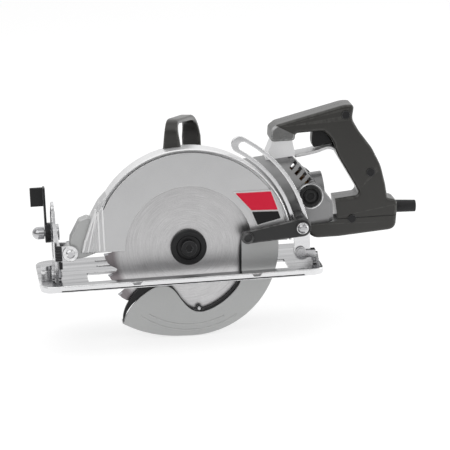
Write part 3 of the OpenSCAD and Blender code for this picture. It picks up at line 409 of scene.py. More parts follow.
def dress(node, material, width):
    # the node's own solid with its sharp edges eased, marked where they are eased
    bm = opened(nodes[node].data)
    bmesh.ops.remove_doubles(bm, verts=bm.verts, dist=easing["weld"])
    bmesh.ops.dissolve_limit(bm, angle_limit=math.radians(easing["flat"]), verts=bm.verts, edges=bm.edges)
    layer = bm.loops.layers.float.new("edge")
    keen = [e for e in bm.edges if bends(e, easing["sharp"])]
    made = bmesh.ops.bevel(
        bm, geom=keen, offset=width * mm, offset_type="OFFSET", segments=easing["segments"],
        profile=easing["profile"], affect="EDGES", clamp_overlap=True)
    for face in made["faces"]:
        if slimness(face) < easing["slim"] * width * mm:
            markFace(face, layer)
    name = node + "Finish"
    piece = finishPiece(name, meshOf(name, bm), material)
    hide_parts(node)
    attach(piece, bodyOf[node])


def joined(name, meshes):
    bm = bmesh.new()
    for mesh in meshes:
        bm.from_mesh(mesh)
        bpy.data.meshes.remove(mesh)
    return meshOf(name, bm)


def stand(name, shape, material, replaced=(), smooth=35.0, body=None, marked=True):
    # a piece of one mesh or several, on the body of the node it replaces or on the one named
    mesh = joined(name, shape) if isinstance(shape, list) else shape
    piece = finishPiece(name, markEdges(mesh) if marked else mesh, material, smooth)
    if replaced:
        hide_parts(*replaced)
    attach(piece, body or bodyOf[replaced[0]])


def polar(centre, radius, degrees):
    turn = math.radians(degrees)
    return centre[0] + radius * math.cos(turn), centre[1] + radius * math.sin(turn)


def arc(centre, radius, start, end, steps=24):
    return [polar(centre, radius, start + (end - start) * i / steps) for i in range(steps + 1)]


def rectangle(across, up):
    return [(across[0], up[0]), (across[1], up[0]), (across[1], up[1]), (across[0], up[1])]


def roundOff(points, radius, steps=5, share=0.48, straight=1.5):
    # corners of an outline eased; radius is one value or one for each corner
    out = []
    for i, corner in enumerate(points):
        here, before, after = Vector(corner), Vector(points[i - 1]), Vector(points[(i + 1) % len(points)])
        reach = radius[i] if isinstance(radius, (list, tuple)) else radius
        u, v = before - here, after - here
        half = u.angle(v) / 2
        if reach <= 0 or half > straight:
            out.append(tuple(here))
            continue
        cut = min(reach / math.tan(half), min(u.length, v.length) * share)
        first, last = here + u.normalized() * cut, here + v.normalized() * cut
        for k in range(steps + 1):
            t = k / steps
            out.append(tuple(first * (1 - t) ** 2 + here * (2 * t * (1 - t)) + last * t * t))
    return out


def eased(corners, steps=5):
    # an outline whose corners each carry a radius
    return roundOff([c[:2] for c in corners], [c[2] for c in corners], steps)


def smoothLine(points, steps=6):
    # an open curve through all the points
    out = []
    end = len(points) - 1
    for i in range(end):
        a, b, c, d = (Vector(points[min(max(i + k, 0), end)]) for k in (-1, 0, 1, 2))
        for k in range(steps):
            t = k / steps
            out.append(tuple(0.5 * (2 * b + (c - a) * t + (2 * a - 5 * b + 4 * c - d) * t ** 2
                                    + (3 * b - a - 3 * c + d) * t ** 3)))
    return out + [tuple(points[-1])]


# for each drawing plane, its turn into the frame and the direction across it
planes = dict(
    xz=(((1, 0, 0), (0, 0, -1), (0, 1, 0)), (0, 1, 0)), xy=(((1, 0, 0), (0, 1, 0), (0, 0, 1)), (0, 0, 1)))
weldAt = 1e-6  # metres


def plateMesh(name, outlines, low, high, plane="xz", roundBy=0.8, steps=3):
    # a sheet or slab cut to an outline with holes, its rims rounded
    curve = bpy.data.curves.new(name, "CURVE")
    curve.dimensions, curve.fill_mode = "2D", "BOTH"
    for line in outlines:
        spline = curve.splines.new("POLY")
        spline.points.add(len(line) - 1)
        for point, (u, v) in zip(spline.points, line):
            point.co = (u, v, 0, 1)
        spline.use_cyclic_u = True
    curve.extrude = (high - low) / 2 - roundBy
    curve.bevel_depth, curve.bevel_resolution, curve.offset = roundBy, steps, -roundBy
    holder = bpy.data.objects.new(name, curve)
    scene.collection.objects.link(holder)
    mesh = bpy.data.meshes.new_from_object(holder.evaluated_get(bpy.context.evaluated_depsgraph_get()))
    bpy.data.objects.remove(holder)
    bpy.data.curves.remove(curve)
    turn, across = planes[plane]
    shift = Matrix.Translation(Vector(across) * (low + high) / 2)
    mesh.transform(Matrix.Scale(mm, 4) @ shift @ Matrix(turn).to_4x4())
    bm = opened(mesh)
    outward(bm, weldAt)
    return closed(bm, mesh)


def latheMesh(name, profile, centre, steps=96, start=0.0, sweep=360.0):
    # a closed profile of radius and y, turned round an axis along y through centre (x, z)
    bm = bmesh.new()
    whole = sweep >= 360.0
    rings = []
    for i in range(steps if whole else steps + 1):
        spots = [(*polar(centre, r, start + sweep * i / steps), y) for r, y in profile]
        rings.append([bm.verts.new((x * mm, y * mm, z * mm)) for x, z, y in spots])
    count = len(profile)
    for i in range(len(rings) if whole else len(rings) - 1):
        one, two = rings[i], rings[(i + 1) % len(rings)]
        for k in range(count):
            bm.faces.new((one[k], one[(k + 1) % count], two[(k + 1) % count], two[k]))
    if not whole:
        bm.faces.new(rings[0])
        bm.faces.new(rings[-1])
    outward(bm, weldAt)
    return meshOf(name, bm)


def sliced(mesh, point, normal):
    # keeps what lies behind the plane and closes the cut
    bm = opened(mesh)
    cut = bmesh.ops.bisect_plane(bm, geom=bm.verts[:] + bm.edges[:] + bm.faces[:], dist=1e-7,
                                 plane_co=Vector(point) * mm, plane_no=normal, clear_outer=True)
    rim = [e for e in cut["geom_cut"] if isinstance(e, bmesh.types.BMEdge)]
    bmesh.ops.triangle_fill(bm, edges=rim, use_beauty=True)
    outward(bm)
    return closed(bm, mesh)


def carved(mesh, cutters):
    # boolean cuts, worked out once and kept in the mesh
    holder = bpy.data.objects.new("carveHolder", mesh)
    scene.collection.objects.link(holder)
    tools = []
    for cutter in cutters:
        tool = bpy.data.objects.new("carveTool", cutter)
        scene.collection.objects.link(tool)
        tools.append(tool)
        cut = holder.modifiers.new("carve", "BOOLEAN")
        cut.operation, cut.solver, cut.object = "DIFFERENCE", "EXACT", tool
    result = bpy.data.meshes.new_from_object(holder.evaluated_get(bpy.context.evaluated_depsgraph_get()))
    for extra in [holder] + tools:
        data = extra.data
        bpy.data.objects.remove(extra)
        bpy.data.meshes.remove(data)
    return result


def rodMesh(name, start, end, radius, sides=64):
    first, last = Vector(start) * mm, Vector(end) * mm
    turn = (last - first).to_track_quat("Z", "Y").to_matrix().to_4x4()
    bm = bmesh.new()
    bmesh.ops.create_cone(bm, cap_ends=True, segments=sides, radius1=radius * mm, radius2=radius * mm,
                          depth=(last - first).length, matrix=Matrix.Translation((first + last) / 2) @ turn)
    outward(bm)
    return meshOf(name, bm)


def boxMesh(name, low, high):
    bm = bmesh.new()
    middle = [(a + b) / 2 * mm for a, b in zip(low, high)]
    size = [(b - a) * mm for a, b in zip(low, high)]
    bmesh.ops.create_cube(bm, size=1.0, matrix=Matrix.Translation(middle) @ Matrix.Diagonal((*size, 1)))
    return meshOf(name, bm)


# inner pieces keep their solids and get a finish
innerFinish = {
    satinSteel: ["brush_springs", "spindle_bearings", "shaft_bearings", "guard_spring", "guard_ring",
                 "guard_screws", "spindle", "armature_shaft", "worm", "inner_flange"],
    gearBronze: ["brush_tubes", "worm_wheel", "commutator"],
    blackPlastic: ["carbon_brushes", "switch_body", "cooling_fan"],
    coilCopper: ["field_coils", "armature_windings"],
    coreIron: ["field_core", "armature_core"],
}
for finish, members in innerFinish.items():
    for member in members:
        paint(nodes[member].data, finish)
print("inner pieces painted")

# pieces whose solids only need their edges eased, by the width given
# the gear housing and the motor take the darker motor alloy as painted shade
outerFinish = dict(
    gear_housing=(motorAlloyAndShade, 0.8), gear_cover=(castAlloy, 0.8), oil_plug=(blackPlastic, 0.5),
    motor_housing=(motorAlloyAndShade, 0.6), motor_cap=(motorAlloyAndShade, 0.6), handle_post=(paleAlloyAndHighlight, 2.0),
    cord_boot=(bootRubber, 0.6), cover_screws=(satinSteel, 0.4), handle_screws=(blackPaint, 0.3),
    depth_bolt=(brightSteel, 0.3), blade_bolt=(blackPaint, 0.5), bevel_bracket=(brightSteel, 0.5),
    rear_bracket=(brightSteel, 0.4), link_pin=(satinSteel, 0.3), bevel_pins=(satinSteel, 0.4),
    bevel_bolt=(brightSteel, 0.4), quadrant=(brightSteel, 0.5), rear_hinge=(brightSteel, 0.4),
    fence_screw=(brightSteel, 0.4), bevel_lever=(blackPaint, 1.3))
for outerNode, (finish, width) in outerFinish.items():
    dress(outerNode, finish, width)
print("outer pieces dressed")

# the motor's axis rises a little to the rear
motorAxis = dict(root=(-2.70, 60.0, 60.88), aim=(math.cos(math.radians(5)), 0.0, math.sin(math.radians(5))))


def alongMotor(distance):
    return [a + b * distance for a, b in zip(motorAxis["root"], motorAxis["aim"])]


# rear handle: two moulded halves that meet at a fine parting line, and a grey cap at the end of the grip
rearHandle = dict(
    corner=(99.0, 19.0), span=140.0, near=43.0, far=77.0, middle=60.0, parting=0.12, roundBy=3.3,
    outline=[  # share of the span along x and z, and the corner's radius
        (0, 0.79, 5), (0.01, 0.89, 5.5), (0.06, 0.925, 8), (0.6, 1.05, 30), (0.672, 1.043, 6),
        (0.65, 0.93, 14), (0.7, 0.835, 26), (0.8, 0.69, 40), (0.865, 0.545, 40), (0.895, 0.4, 34),
        (0.91, 0.285, 3), (0.99, 0.262, 7), (0.965, 0.03, 10), (0.51, 0, 20), (0.31, 0, 14),
        (0.23, 0.1, 8), (0.23, 0.3, 9), (0.4, 0.3, 4), (0.665, 0.32, 9), (0.685, 0.35, 10),
        (0.53, 0.64, 8), (0.508, 0.7, 6), (0.5, 0.75, 10), (0.463, 0.808, 10), (0.42, 0.852, 5),
        (0.2, 0.846, 4), (0.195, 0.79, 4.4)],
    motorRoom=(50, 170, 42.25),  # start, end and radius along the motor's axis
    pocket=[(0.28, 0.872), (0.45, 0.872), (0.532, 0.81), (0.545, 0.75), (0.54, 0.69), (0.28, 0.69)],
    pocketSpan=(51.5, 68.5),
    screws=[(0.6, 0.97), (0.78, 0.5), (0.62, 0.14)], dish=5.6, dishDeep=0.01, dishClear=3.0,
    seam=dict(start=0.4, end=0.97, height=0.145, wide=1.1, deep=1.3),
    cap=dict(front=(80.0, 162.1), rear=(127.0, 135.8), floor=110.0, shrink=0.35, clear=5.0),
)


def onHandle(share):
    return tuple(start + rearHandle["span"] * s for start, s in zip(rearHandle["corner"], share))


def makeRearHandle():
    r = rearHandle
    near, far, seam, cap = r["near"], r["far"], r["seam"], r["cap"]
    corners = [(*onHandle(p[:2]), p[2]) for p in r["outline"]]
    slab = plateMesh("rearHandle", [eased(corners, 7)], near, far, roundBy=r["roundBy"], steps=5)
    start, end, radius = r["motorRoom"]
    cutters = [rodMesh("motorRoom", alongMotor(start), alongMotor(end), radius, 96),
               plateMesh("triggerRoom", [[onHandle(p) for p in r["pocket"]]], *r["pocketSpan"], roundBy=0)]
    for x, z in map(onHandle, r["screws"]):
        top, floor = near - r["dishClear"], near + r["dishDeep"]
        cutters.append(rodMesh("screwDish", (x, top, z), (x, floor, z), r["dish"], 40))
    seamStart, seamEnd = (onHandle((seam[k], seam["height"])) for k in ("start", "end"))
    low, high = seamStart[1] - seam["wide"] / 2, seamStart[1] + seam["wide"] / 2
    for side in (near, far):
        cutters.append(boxMesh("seamCut", (seamStart[0], side - seam["deep"], low),
                               (seamEnd[0], side + seam["deep"], high)))
    whole = carved(slab, cutters)
    (frontX, frontZ), (rearX, rearZ) = cap["front"], cap["rear"]
    tip = sliced(whole.copy(), (rearX, 0, rearZ), (frontZ - rearZ, 0, rearX - frontX))
    tip = sliced(tip, (rearX, 0, 0), (1, 0, 0))
    for vertex in tip.vertices:  # the cap sits a little inside the grip
        side = vertex.co.y / mm - r["middle"]
        vertex.co.y -= math.copysign(min(abs(side), cap["shrink"]), side) * mm
    stand("gripCap", tip, capAlloy, smooth=40, body=bodyOf["rear_handle_near"])
    room = [(frontX, cap["floor"]), (rearX, cap["floor"]), (rearX, rearZ), (frontX, frontZ)]
    clear = cap["clear"]
    whole = carved(whole, [plateMesh("capRoom", [room], near - clear, far + clear, roundBy=0)])
    for name, node, sign in (("gripNear", "rear_handle_near", 1), ("gripFar", "rear_handle_far", -1)):
        half = sliced(whole.copy(), (0, r["middle"] - sign * r["parting"], 0), (0, sign, 0))
        stand(name, half, gripPlastic, [node], 40)
    bpy.data.meshes.remove(whole)


makeRearHandle()
print("rear handle made")

# finger lip: a thin curved strip under the trigger
fingerLip = dict(
    top=[(126.3, 113.4), (138, 114.9), (150, 116.9), (157, 118.9), (162, 120.1), (166.5, 119.7),
        (170, 118)],
    thick=3.4, span=(47.0, 73.0), roundBy=1.1)


def makeFingerLip():
    f = fingerLip
    top = smoothLine(f["top"])
    line = top + [(x, z - f["thick"]) for x, z in reversed(top)]
    lip = plateMesh("fingerLip", [line], *f["span"], roundBy=f["roundBy"])
    stand("fingerLip", lip, castAlloy, ["finger_bar"], 40)


makeFingerLip()

# trigger: a tall paddle that fills the window behind the lip
triggerPaddle = dict(
    line=[(147.2, 118.7, 3), (145.6, 126, 20), (146.4, 133, 20), (147.6, 140, 3), (157, 140.2, 4),
        (163.2, 133.4, 14), (167.6, 126, 14), (168.2, 121.4, 2.5), (161.8, 121.6, 6), (155, 120.2, 10)],
    span=(52.0, 68.0), roundBy=1.6)


def makeTrigger():
    t = triggerPaddle
    paddle = plateMesh("triggerPaddle", [eased(t["line"], 6)], *t["span"], roundBy=t["roundBy"], steps=4)
    stand("triggerPaddle", paddle, blackPlastic, ["trigger"], 40)


makeTrigger()

# brush caps: black discs with turned rings, each in a bright rim; radius and depth under the face
brushCaps = dict(
    centre=(136.77, 73.08), faces=(12.0, 108.0),
    cap=[(0, 1.6), (3.2, 1.6), (3.6, 0.9), (4.2, 0.5), (6.2, 0.5), (6.8, 1.2), (7.6, 1.5), (8.2, 0.8),
        (8.8, 0.1), (10.9, 0.0), (11.7, 0.4), (12.0, 1.2), (12.0, 6.0), (0, 6.0)],
    rim=[(12.2, 2.6), (12.5, 1.7), (13.2, 1.3), (14.0, 1.6), (14.4, 2.4), (14.4, 4.2), (12.2, 4.2)])


def makeBrushCaps():
    b = brushCaps
    for name, profile, finish, replaced in (("brushCaps", b["cap"], blackPlastic, ["brush_caps"]),
                                            ("brushRims", b["rim"], satinSteel, [])):
        sides = []
        for face, inward in zip(b["faces"], (1, -1)):
            sides.append(latheMesh(name, [(r, face + inward * deep) for r, deep in profile], b["centre"], 64))
        stand(name, sides, finish, replaced, 30, "saw_body")


makeBrushCaps()
print("brush caps made")

# front handle: one bent strap, cut to the guard and the gear case; each room is start, end and radius
frontHandle = dict(
    root=(-13.0, 2.0), turn=70.6, length=93.3, top=170.0, drop=11.0, thick=6.0, wide=17.0, nearFoot=134.0,
    farFoot=30.0, bend=28.0, footBend=0.5, roundBy=2.4, flare=1.24, slim=0.78, flareTo=162.0,
    guardRoom=(-20, 14.01, 104.9), caseRoom=(14, 98, 31.02))


def makeFrontHandle():
    f = frontHandle
    foot, farFoot, top, length, thick = f["nearFoot"], f["farFoot"], f["top"], f["length"], f["thick"]
    bend, end, low, inner = f["bend"], f["footBend"], top - f["drop"], length - thick
    line = [(0, foot, end), (0, top, bend), (length, low, bend), (length, farFoot, end),
            (inner, farFoot, end), (inner, low - thick, bend - thick), (thick, top - thick, bend - thick),
            (thick, foot, end)]
    half = f["wide"] / 2
    strap = plateMesh("frontStrap", [eased(line, 9)], -half, half, roundBy=f["roundBy"], steps=4)
    for vertex in strap.vertices:  # wider at the feet than at the crown
        climb = min(max((vertex.co.z / mm - foot) / (f["flareTo"] - foot), 0), 1)
        vertex.co.y *= f["flare"] + (f["slim"] - f["flare"]) * climb
    strap.transform(Matrix.Translation((f["root"][0] * mm, f["root"][1] * mm, 0))
                    @ Matrix.Rotation(math.radians(f["turn"]), 4, "Z"))
    rooms = []
    for name, height, sides in (("guardRoom", guardMid[1], 160), ("caseRoom", axle[1], 96)):
        near, far, radius = f[name]
        rooms.append(rodMesh(name, (0, near, height), (0, far, height), radius, sides))
    stand("frontStrap", carved(strap, rooms), gripPlastic, ["front_handle"], 40)


makeFrontHandle()
print("front handle made")

# upper guard: a turned shell with a raised rim, a flared front with ribs, and the pivot gusset
upperGuard = dict(
    bottom=33.0, start=-12.0, sweep=204.0, steps=170, face=100.5, window=69.0, hole=31.0, near=(-13.2, -10.7),
    far=(11.5, 14.0),
    rim=[(99.5, -8.2), (102.4, -8.2), (102.6, -12.4), (103.2, -13.5), (103.9, -13.95), (104.6, -13.3),
         (105, -11.8), (105, 10.5), (104.6, 12.6), (103.4, 14), (102.6, 14), (102.2, 13.2), (99.5, 13.2)],
    gusset=[(-128, 42, 3), (-127, 50, 5), (-116.5, 68.5, 3), (-108, 71.5, 2), (-95.1, 65.9, 2),
            (-96, 33.3, 2), (-112, 28, 6), (-128, 26, 1)],
    eye=(-128, 34), eyeRadius=8.0, eyeBore=4.06, eyeRound=1.0, gussetHalf=9.0, wallRound=0.6, webRound=1.2,
    flare=[(-82, 99.5, 2), (-94.5, 86.5, 16), (-103.5, 71.5, 20), (-112.4, 47, 20), (-116.4, 33, 1),
           (-90, 33, 1), (-90, 80, 1.5)],
    flareHalf=12.6, ribCorner=0.9, ribCrest=0.85, stretch=0.057, stretchFrom=80.0, stretchTo=99.0,
    ribs=[  # both ends, half the width and the rise
        ((-114.6, 34), (-110.9, 48), 1.5, 1.6), ((-110.9, 46.5), (-98.2, 81), 1.5, 1.6),
        ((-109.2, 34), (-98.2, 76.5), 1.1, 1.5), ((-96.4, 33.8), (-96.4, 77.5), 1.1, 1.5),
        ((-91.4, 33.8), (-91.4, 83), 1.1, 1.5)],
)


def ribMesh(start, end, half, rise, face):
    # a low rib with a rounded crest on a wall that faces -y
    first, last = Vector(start), Vector(end)
    across = Vector((last.y - first.y, first.x - last.x)).normalized() * half
    corners = [tuple(first + across), tuple(last + across), tuple(last - across), tuple(first - across)]
    line = roundOff(corners, half * upperGuard["ribCorner"], 4)
    crest = min(rise, half) * upperGuard["ribCrest"]
    return plateMesh("guardRib", [line], face - rise, face + rise, roundBy=crest)


def stretched(mesh):
    # the rear half of the guard reaches a little further back than a circle
    u = upperGuard
    for vertex in mesh.vertices:
        reach = math.hypot(vertex.co.x / mm - guardMid[0], vertex.co.z / mm - guardMid[1])
        share = min(max((reach - u["stretchFrom"]) / (u["stretchTo"] - u["stretchFrom"]), 0), 1)
        if vertex.co.x > 0:
            vertex.co.x *= 1 + u["stretch"] * share
    return mesh


def makeUpperGuard():
    u = upperGuard
    rim = sliced(latheMesh("guardRim", u["rim"], guardMid, u["steps"], u["start"], u["sweep"]),
                 (0, 0, u["bottom"]), (0, 0, -1))
    tilt = math.degrees(math.asin((guardMid[1] - u["bottom"]) / u["face"]))
    walls = []
    for name, radius, span in (("nearWall", u["window"], u["near"]), ("farWall", u["hole"], u["far"])):
        dip = math.degrees(math.asin((u["bottom"] - axle[1]) / radius))
        line = arc(guardMid, u["face"], -tilt, 180 + tilt, 150) + arc(axle, radius, 180 - dip, dip, 120)
        walls.append(stretched(plateMesh(name, [line], *span, roundBy=u["wallRound"])))
    (eyeX, eyeZ), half, bore = u["eye"], u["gussetHalf"], u["eyeBore"]
    gusset = plateMesh("guardGusset", [eased(u["gusset"])], -half, half, roundBy=u["webRound"])
    gusset = carved(gusset, [rodMesh("eyeBore", (eyeX, -20, eyeZ), (eyeX, 20, eyeZ), bore, 40)])
    circles = [arc(u["eye"], r, 0, 352, 44) for r in (u["eyeRadius"], bore)]
    eye = plateMesh("guardEye", circles, -half, half, roundBy=u["eyeRound"])
    face = u["flareHalf"]
    flare = plateMesh("guardFlare", [eased(u["flare"])], -face, face, roundBy=u["webRound"])
    # the rim and the ribs take the paler alloy as painted highlight
    stand("guardRim", stretched(rim), paleAlloyAndHighlight, body="saw_body")
    # the gusset takes the darker alloy as painted shade
    stand("guardGusset", [gusset, eye], lowerCastAndShade, body="saw_body")
    stand("guardRibs", [ribMesh(*rib, -face) for rib in u["ribs"]], paleAlloyAndHighlight, body="saw_body")
    stand("guardShell", [flare] + walls, castAlloy, ["upper_guard"])


makeUpperGuard()

# badge: a pale frame that carries a red and a black plate
badge = dict(
    frame=[(49.4, 89.8), (91.2, 89.3), (98.6, 66.6), (101.2, 56.8), (73.4, 50.6), (66.9, 67.7)],
    red=[(51.8, 88.4), (90.2, 87.9), (96.9, 67.4), (68.5, 68.6)],
    black=[(68.9, 66.9), (97.2, 65.7), (99.6, 57.9), (74.2, 52.2)], frameSpan=(-14.5, -13.0),
    plateSpan=(-15.2, -14.2), corner=0.8, roundBy=0.3)


def makeBadge():
    b = badge
    for name, line, span, finish, replaced in (
            ("badgeFrame", b["frame"], b["frameSpan"], paleEnamel, []),
            ("badgeRed", b["red"], b["plateSpan"], redEnamel, ["badge_top"]),
            ("badgeBlack", b["black"], b["plateSpan"], blackEnamel, ["badge_low"])):
        plate = plateMesh(name, [roundOff(line, b["corner"], 4)], *span, roundBy=b["roundBy"])
        stand(name, plate, finish, replaced, body="saw_body")


makeBadge()
print("upper guard made")

# lower guard: a near wall with its bite, a black strip inside it, a rim, a far wall and the hub; the strip is
# a dark lip at the nose and painted shade along the rest of the bite
lowerGuard = dict(
    radius=97.0, noseRise=12.0, noseSpan=40.0, nosePower=1.4, start=-134.0, end=6.0, rim=2.5, rimBack=0.2,
    half=9.0, wall=2.0, hub=25.5, hubInset=0.1, hubEase=0.5, hubArc=(20, 215), bore=22.05, back=13.5,
    nearRound=0.7, rimRound=0.6, farRound=0.5,
    bite=[(57, 8), (56.4, -8), (56, -22), (55.2, -34), (53, -42.2), (46.4, -51), (36, -60.2), (25, -66.8),
        (15.5, -70.2), (8.5, -71), (1.6, -69.2), (-5.6, -63.4), (-11.2, -56), (-16, -48.4), (-21.4, -42.4),
        (-28, -39.6), (-37, -40), (-44.5, -43), (-51.5, -47.4), (-59.5, -53.6), (-66.2, -61), (-71.2, -69),
        (-74.6, -77)],
    lip=[(56.5, 4), (54.4, -8), (53.8, -22), (53, -33), (51, -40.6), (44.6, -49), (34.6, -57.8),
        (24, -64.2), (15, -67.6), (8.4, -68.6), (1.9, -67.8), (-5, -62.8), (-10.7, -55.4), (-15.6, -47.6),
        (-21.2, -41.4), (-28.6, -37.8), (-40, -34.6), (-50, -37.6), (-58.4, -43.4), (-66, -51.4),
        (-71.4, -60), (-74.6, -69), (-75.2, -77.4)],
    lipShadeNear=-6.9, lipShadeFar=-3.2, lipShadeReach=1.06, lipShadeTail=(1.04, 1.02, 0.995),
    stud=dict(spot=(7.8, -67.6), radius=2.3, rise=1.6, root=0.3, dome=[(1, 0.4), (0.7, 0.9), (0, 1)],
        tab=1.2, tabProud=0.1, tabRound=0.5),
    beads=[(84.5, -124.0, -66.0), (90.5, -128.0, -58.0)], beadHalf=0.9, beadRise=0.5, beadRound=0.45)


def guardEdge(angle):
    g = lowerGuard
    early = g["start"] + g["noseSpan"] - angle
    return g["radius"] + (g["noseRise"] * (early / g["noseSpan"]) ** g["nosePower"] if early > 0 else 0.0)


def atAxle(points):
    return [(axle[0] + u, axle[1] + v) for u, v in points]


def stripMesh(name, first, second, low, high):
    # a flat strip between two lines with the same number of points
    bm = bmesh.new()
    a, b, c, d = [[bm.verts.new((x * mm, y * mm, z * mm)) for x, z in line]
                  for line in (first, second) for y in (low, high)]
    for i in range(len(first) - 1):
        for p, q in ((a, c), (c, d), (d, b), (b, a)):
            bm.faces.new((p[i], p[i + 1], q[i + 1], q[i]))
    for i in (0, -1):
        bm.faces.new((a[i], c[i], d[i], b[i]))
    outward(bm)
    return meshOf(name, bm)


def makeLowerGuard():
    g = lowerGuard
    half, bore, hub, back, lipShadeNear = (g[k] for k in ("half", "bore", "hub", "back", "lipShadeNear"))
    floor = half - g["wall"]
    turns = [g["start"] + (g["end"] - g["start"]) * i / 90 for i in range(91)]
    outer = [polar((0, 0), guardEdge(a), a) for a in turns]
    inset = arc((0, 0), g["radius"] - g["rim"], g["end"], g["start"], 90)
    face = atAxle(outer + smoothLine(g["bite"]))
    nearWall = plateMesh("nearWall", [face], -half, -floor, roundBy=g["nearRound"])
    rim = plateMesh("rimWall", [atAxle(outer + inset)], -half + g["rimBack"], half, roundBy=g["rimRound"])
    neck, ease = hub - g["hubInset"], g["hubEase"]
    hubBack = arc((0, 0), neck, *g["hubArc"], 40)
    hole = arc((0, 0), bore, 0, 354, 60)
    lines = [atAxle(outer + hubBack), atAxle(hole)]
    farWall = plateMesh("farWall", lines, floor, half, roundBy=g["farRound"])
    profile = [(bore, floor), (neck, floor), (hub, back - ease), (hub - ease, back), (bore, back)]
    collar = latheMesh("guardHub", profile, axle)
    beads = []
    wide, rise = g["beadHalf"], g["beadRise"]
    for radius, start, end in g["beads"]:
        strip = arc(axle, radius + wide, start, end, 50) + arc(axle, radius - wide, end, start, 50)
        beads.append(plateMesh("guardBead", [strip], -half - rise, -half + rise, roundBy=g["beadRound"]))
    stand("swingGuard", [nearWall, rim, farWall, collar] + beads, lowerCastAndShade, ["lower_guard"])
    # black strip and the tab round the stud: a dark lip at the guard's nose, and painted shade inside the
    # guard along the rest of the bite
    tail = g["lipShadeTail"]
    reach = [g["lipShadeReach"]] * (len(g["bite"]) - len(tail)) + list(tail)
    inside = [(u * k, v * k) for (u, v), k in zip(g["bite"], reach)]
    first, second = (atAxle(smoothLine(line)) for line in (g["lip"], inside))
    lip = stripMesh("guardLipAndShade", first, second, lipShadeNear, g["lipShadeFar"])
    stud = g["stud"]
    spot, radius, rise = atAxle([stud["spot"]])[0], stud["radius"], stud["rise"]
    disc = arc(spot, radius + stud["tab"], 0, 352, 40)
    tab = plateMesh("studTab", [disc], lipShadeNear - stud["tabProud"], g["lipShadeFar"], roundBy=stud["tabRound"])
    stand("guardLipAndShade", [lip, tab], blackPaint, body="lower_guard_set")
    root = lipShadeNear + stud["root"]
    dome = [(radius * out, lipShadeNear - rise * up) for out, up in stud["dome"]]
    stud = latheMesh("guardStud", [(0, root), (radius, root)] + dome, spot, 32)
    stand("guardStud", stud, satinSteel, body="lower_guard_set", marked=False)


makeLowerGuard()
print("lower guard made")

# blade: plate with hooked teeth, each as shares of the pitch and radii, and a carbide tip on each
sawBlade = dict(
    radius=92.0, teeth=24, plate=0.9, plateRound=0.06, bore=8.0,
    tooth=[(0.0, 81.8), (0.03, 83.5), (0.075, 91.3), (0.30, 90.6), (0.52, 88.6), (0.70, 85.6), (0.80, 82.6),
        (0.88, 80.9), (0.95, 80.6)],
    tip=dict(at=0.075, half=1.15, long=5.2, thick=1.9, taper=0.5, heel=0.35, inset=0.1, bevel=0.12))


def makeBlade():
    b = sawBlade
    tip, count = b["tip"], b["teeth"]
    pitch = 360.0 / count
    rim = [polar((0, 0), r, (i + share) * pitch) for i in range(count) for share, r in b["tooth"]]
    hole = arc((0, 0), b["bore"], 0, 354, 60)
    lines, thin = [atAxle(rim), atAxle(hole)], b["plate"]
    plate = plateMesh("bladePlate", lines, -thin, thin, roundBy=b["plateRound"], steps=1)
    stand("bladePlate", plate, bladeSteel, ["saw_blade"], 25, marked=False)
    top, low, heel, thick = b["radius"] - tip["inset"], b["radius"] - tip["long"], tip["heel"], tip["thick"]
    side = Vector((0, tip["half"], 0))
    centre = Vector((axle[0], 0, axle[1]))
    bm = bmesh.new()
    for i in range(count):
        a = math.radians((i + tip["at"]) * pitch)
        out, along = Vector((math.cos(a), 0, math.sin(a))), Vector((-math.sin(a), 0, math.cos(a)))
        flat = [out * top - along * heel, out * (top - heel) + along * thick,
                out * low + along * (thick - tip["taper"]), out * low - along * heel]
        rings = [[bm.verts.new((centre + p + s) * mm) for p in flat] for s in (-side, side)]
        bm.faces.new(rings[0])
        bm.faces.new(rings[1][::-1])
        for k in range(4):
            bm.faces.new((rings[0][k], rings[1][k], rings[1][(k + 1) % 4], rings[0][(k + 1) % 4]))
    outward(bm)
    bmesh.ops.bevel(bm, geom=bm.edges[:], offset=tip["bevel"] * mm, segments=1, affect="EDGES")
    stand("bladeTips", meshOf("bladeTips", bm), tipCarbide, [], 25, "spindle_set", False)


makeBlade()
print("blade made")

# clamp washer: a dished black disc with turned steps
clampWasher = dict(
    profile=[(4.0, -0.9), (19.3, -0.9), (19.5, -1.4), (19.5, -4.4), (19.1, -5.2), (18.2, -5.7),
        (17.0, -5.9), (16.0, -5.6), (15.2, -5.6), (14.6, -5.85), (13.6, -5.75), (13.1, -5.2), (12.9, -4.2),
        (12.4, -3.9), (4.0, -3.9)])
washer = latheMesh("clampWasher", clampWasher["profile"], axle)
stand("clampWasher", washer, blackPaint, ["outer_washer"], 30, marked=False)
print("washer made")


def hullOfTwo(first, r1, second, r2, steps=20):
    # outline round two circles, joined by straight flanks
    aim = Vector(second) - Vector(first)
    base = math.atan2(aim.y, aim.x)
    lean = math.acos((r1 - r2) / aim.length)
    back = arc(first, r1, math.degrees(base + lean), math.degrees(base - lean) + 360, steps)
    return back + arc(second, r2, math.degrees(base - lean), math.degrees(base + lean), steps)


# depth lever: a flat arm with a boss at the bolt and a dished finger pad at its tip
depthLever = dict(
    bolt=(122.0, 47.0), tip=(62.4, 40.05), hub=10.0, half=7.0, near=-21.0, far=-16.0, hubFar=-7.0,
    hubInset=0.1, overlap=1.0, armRound=1.5, hubRound=0.6, bore=4.06,
    pad=[(0, -20), (6.2, -20), (6.2, -24.4), (5.7, -25.5), (4.8, -26), (4.1, -25.5), (3.7, -24.5),
        (0, -23.9)])


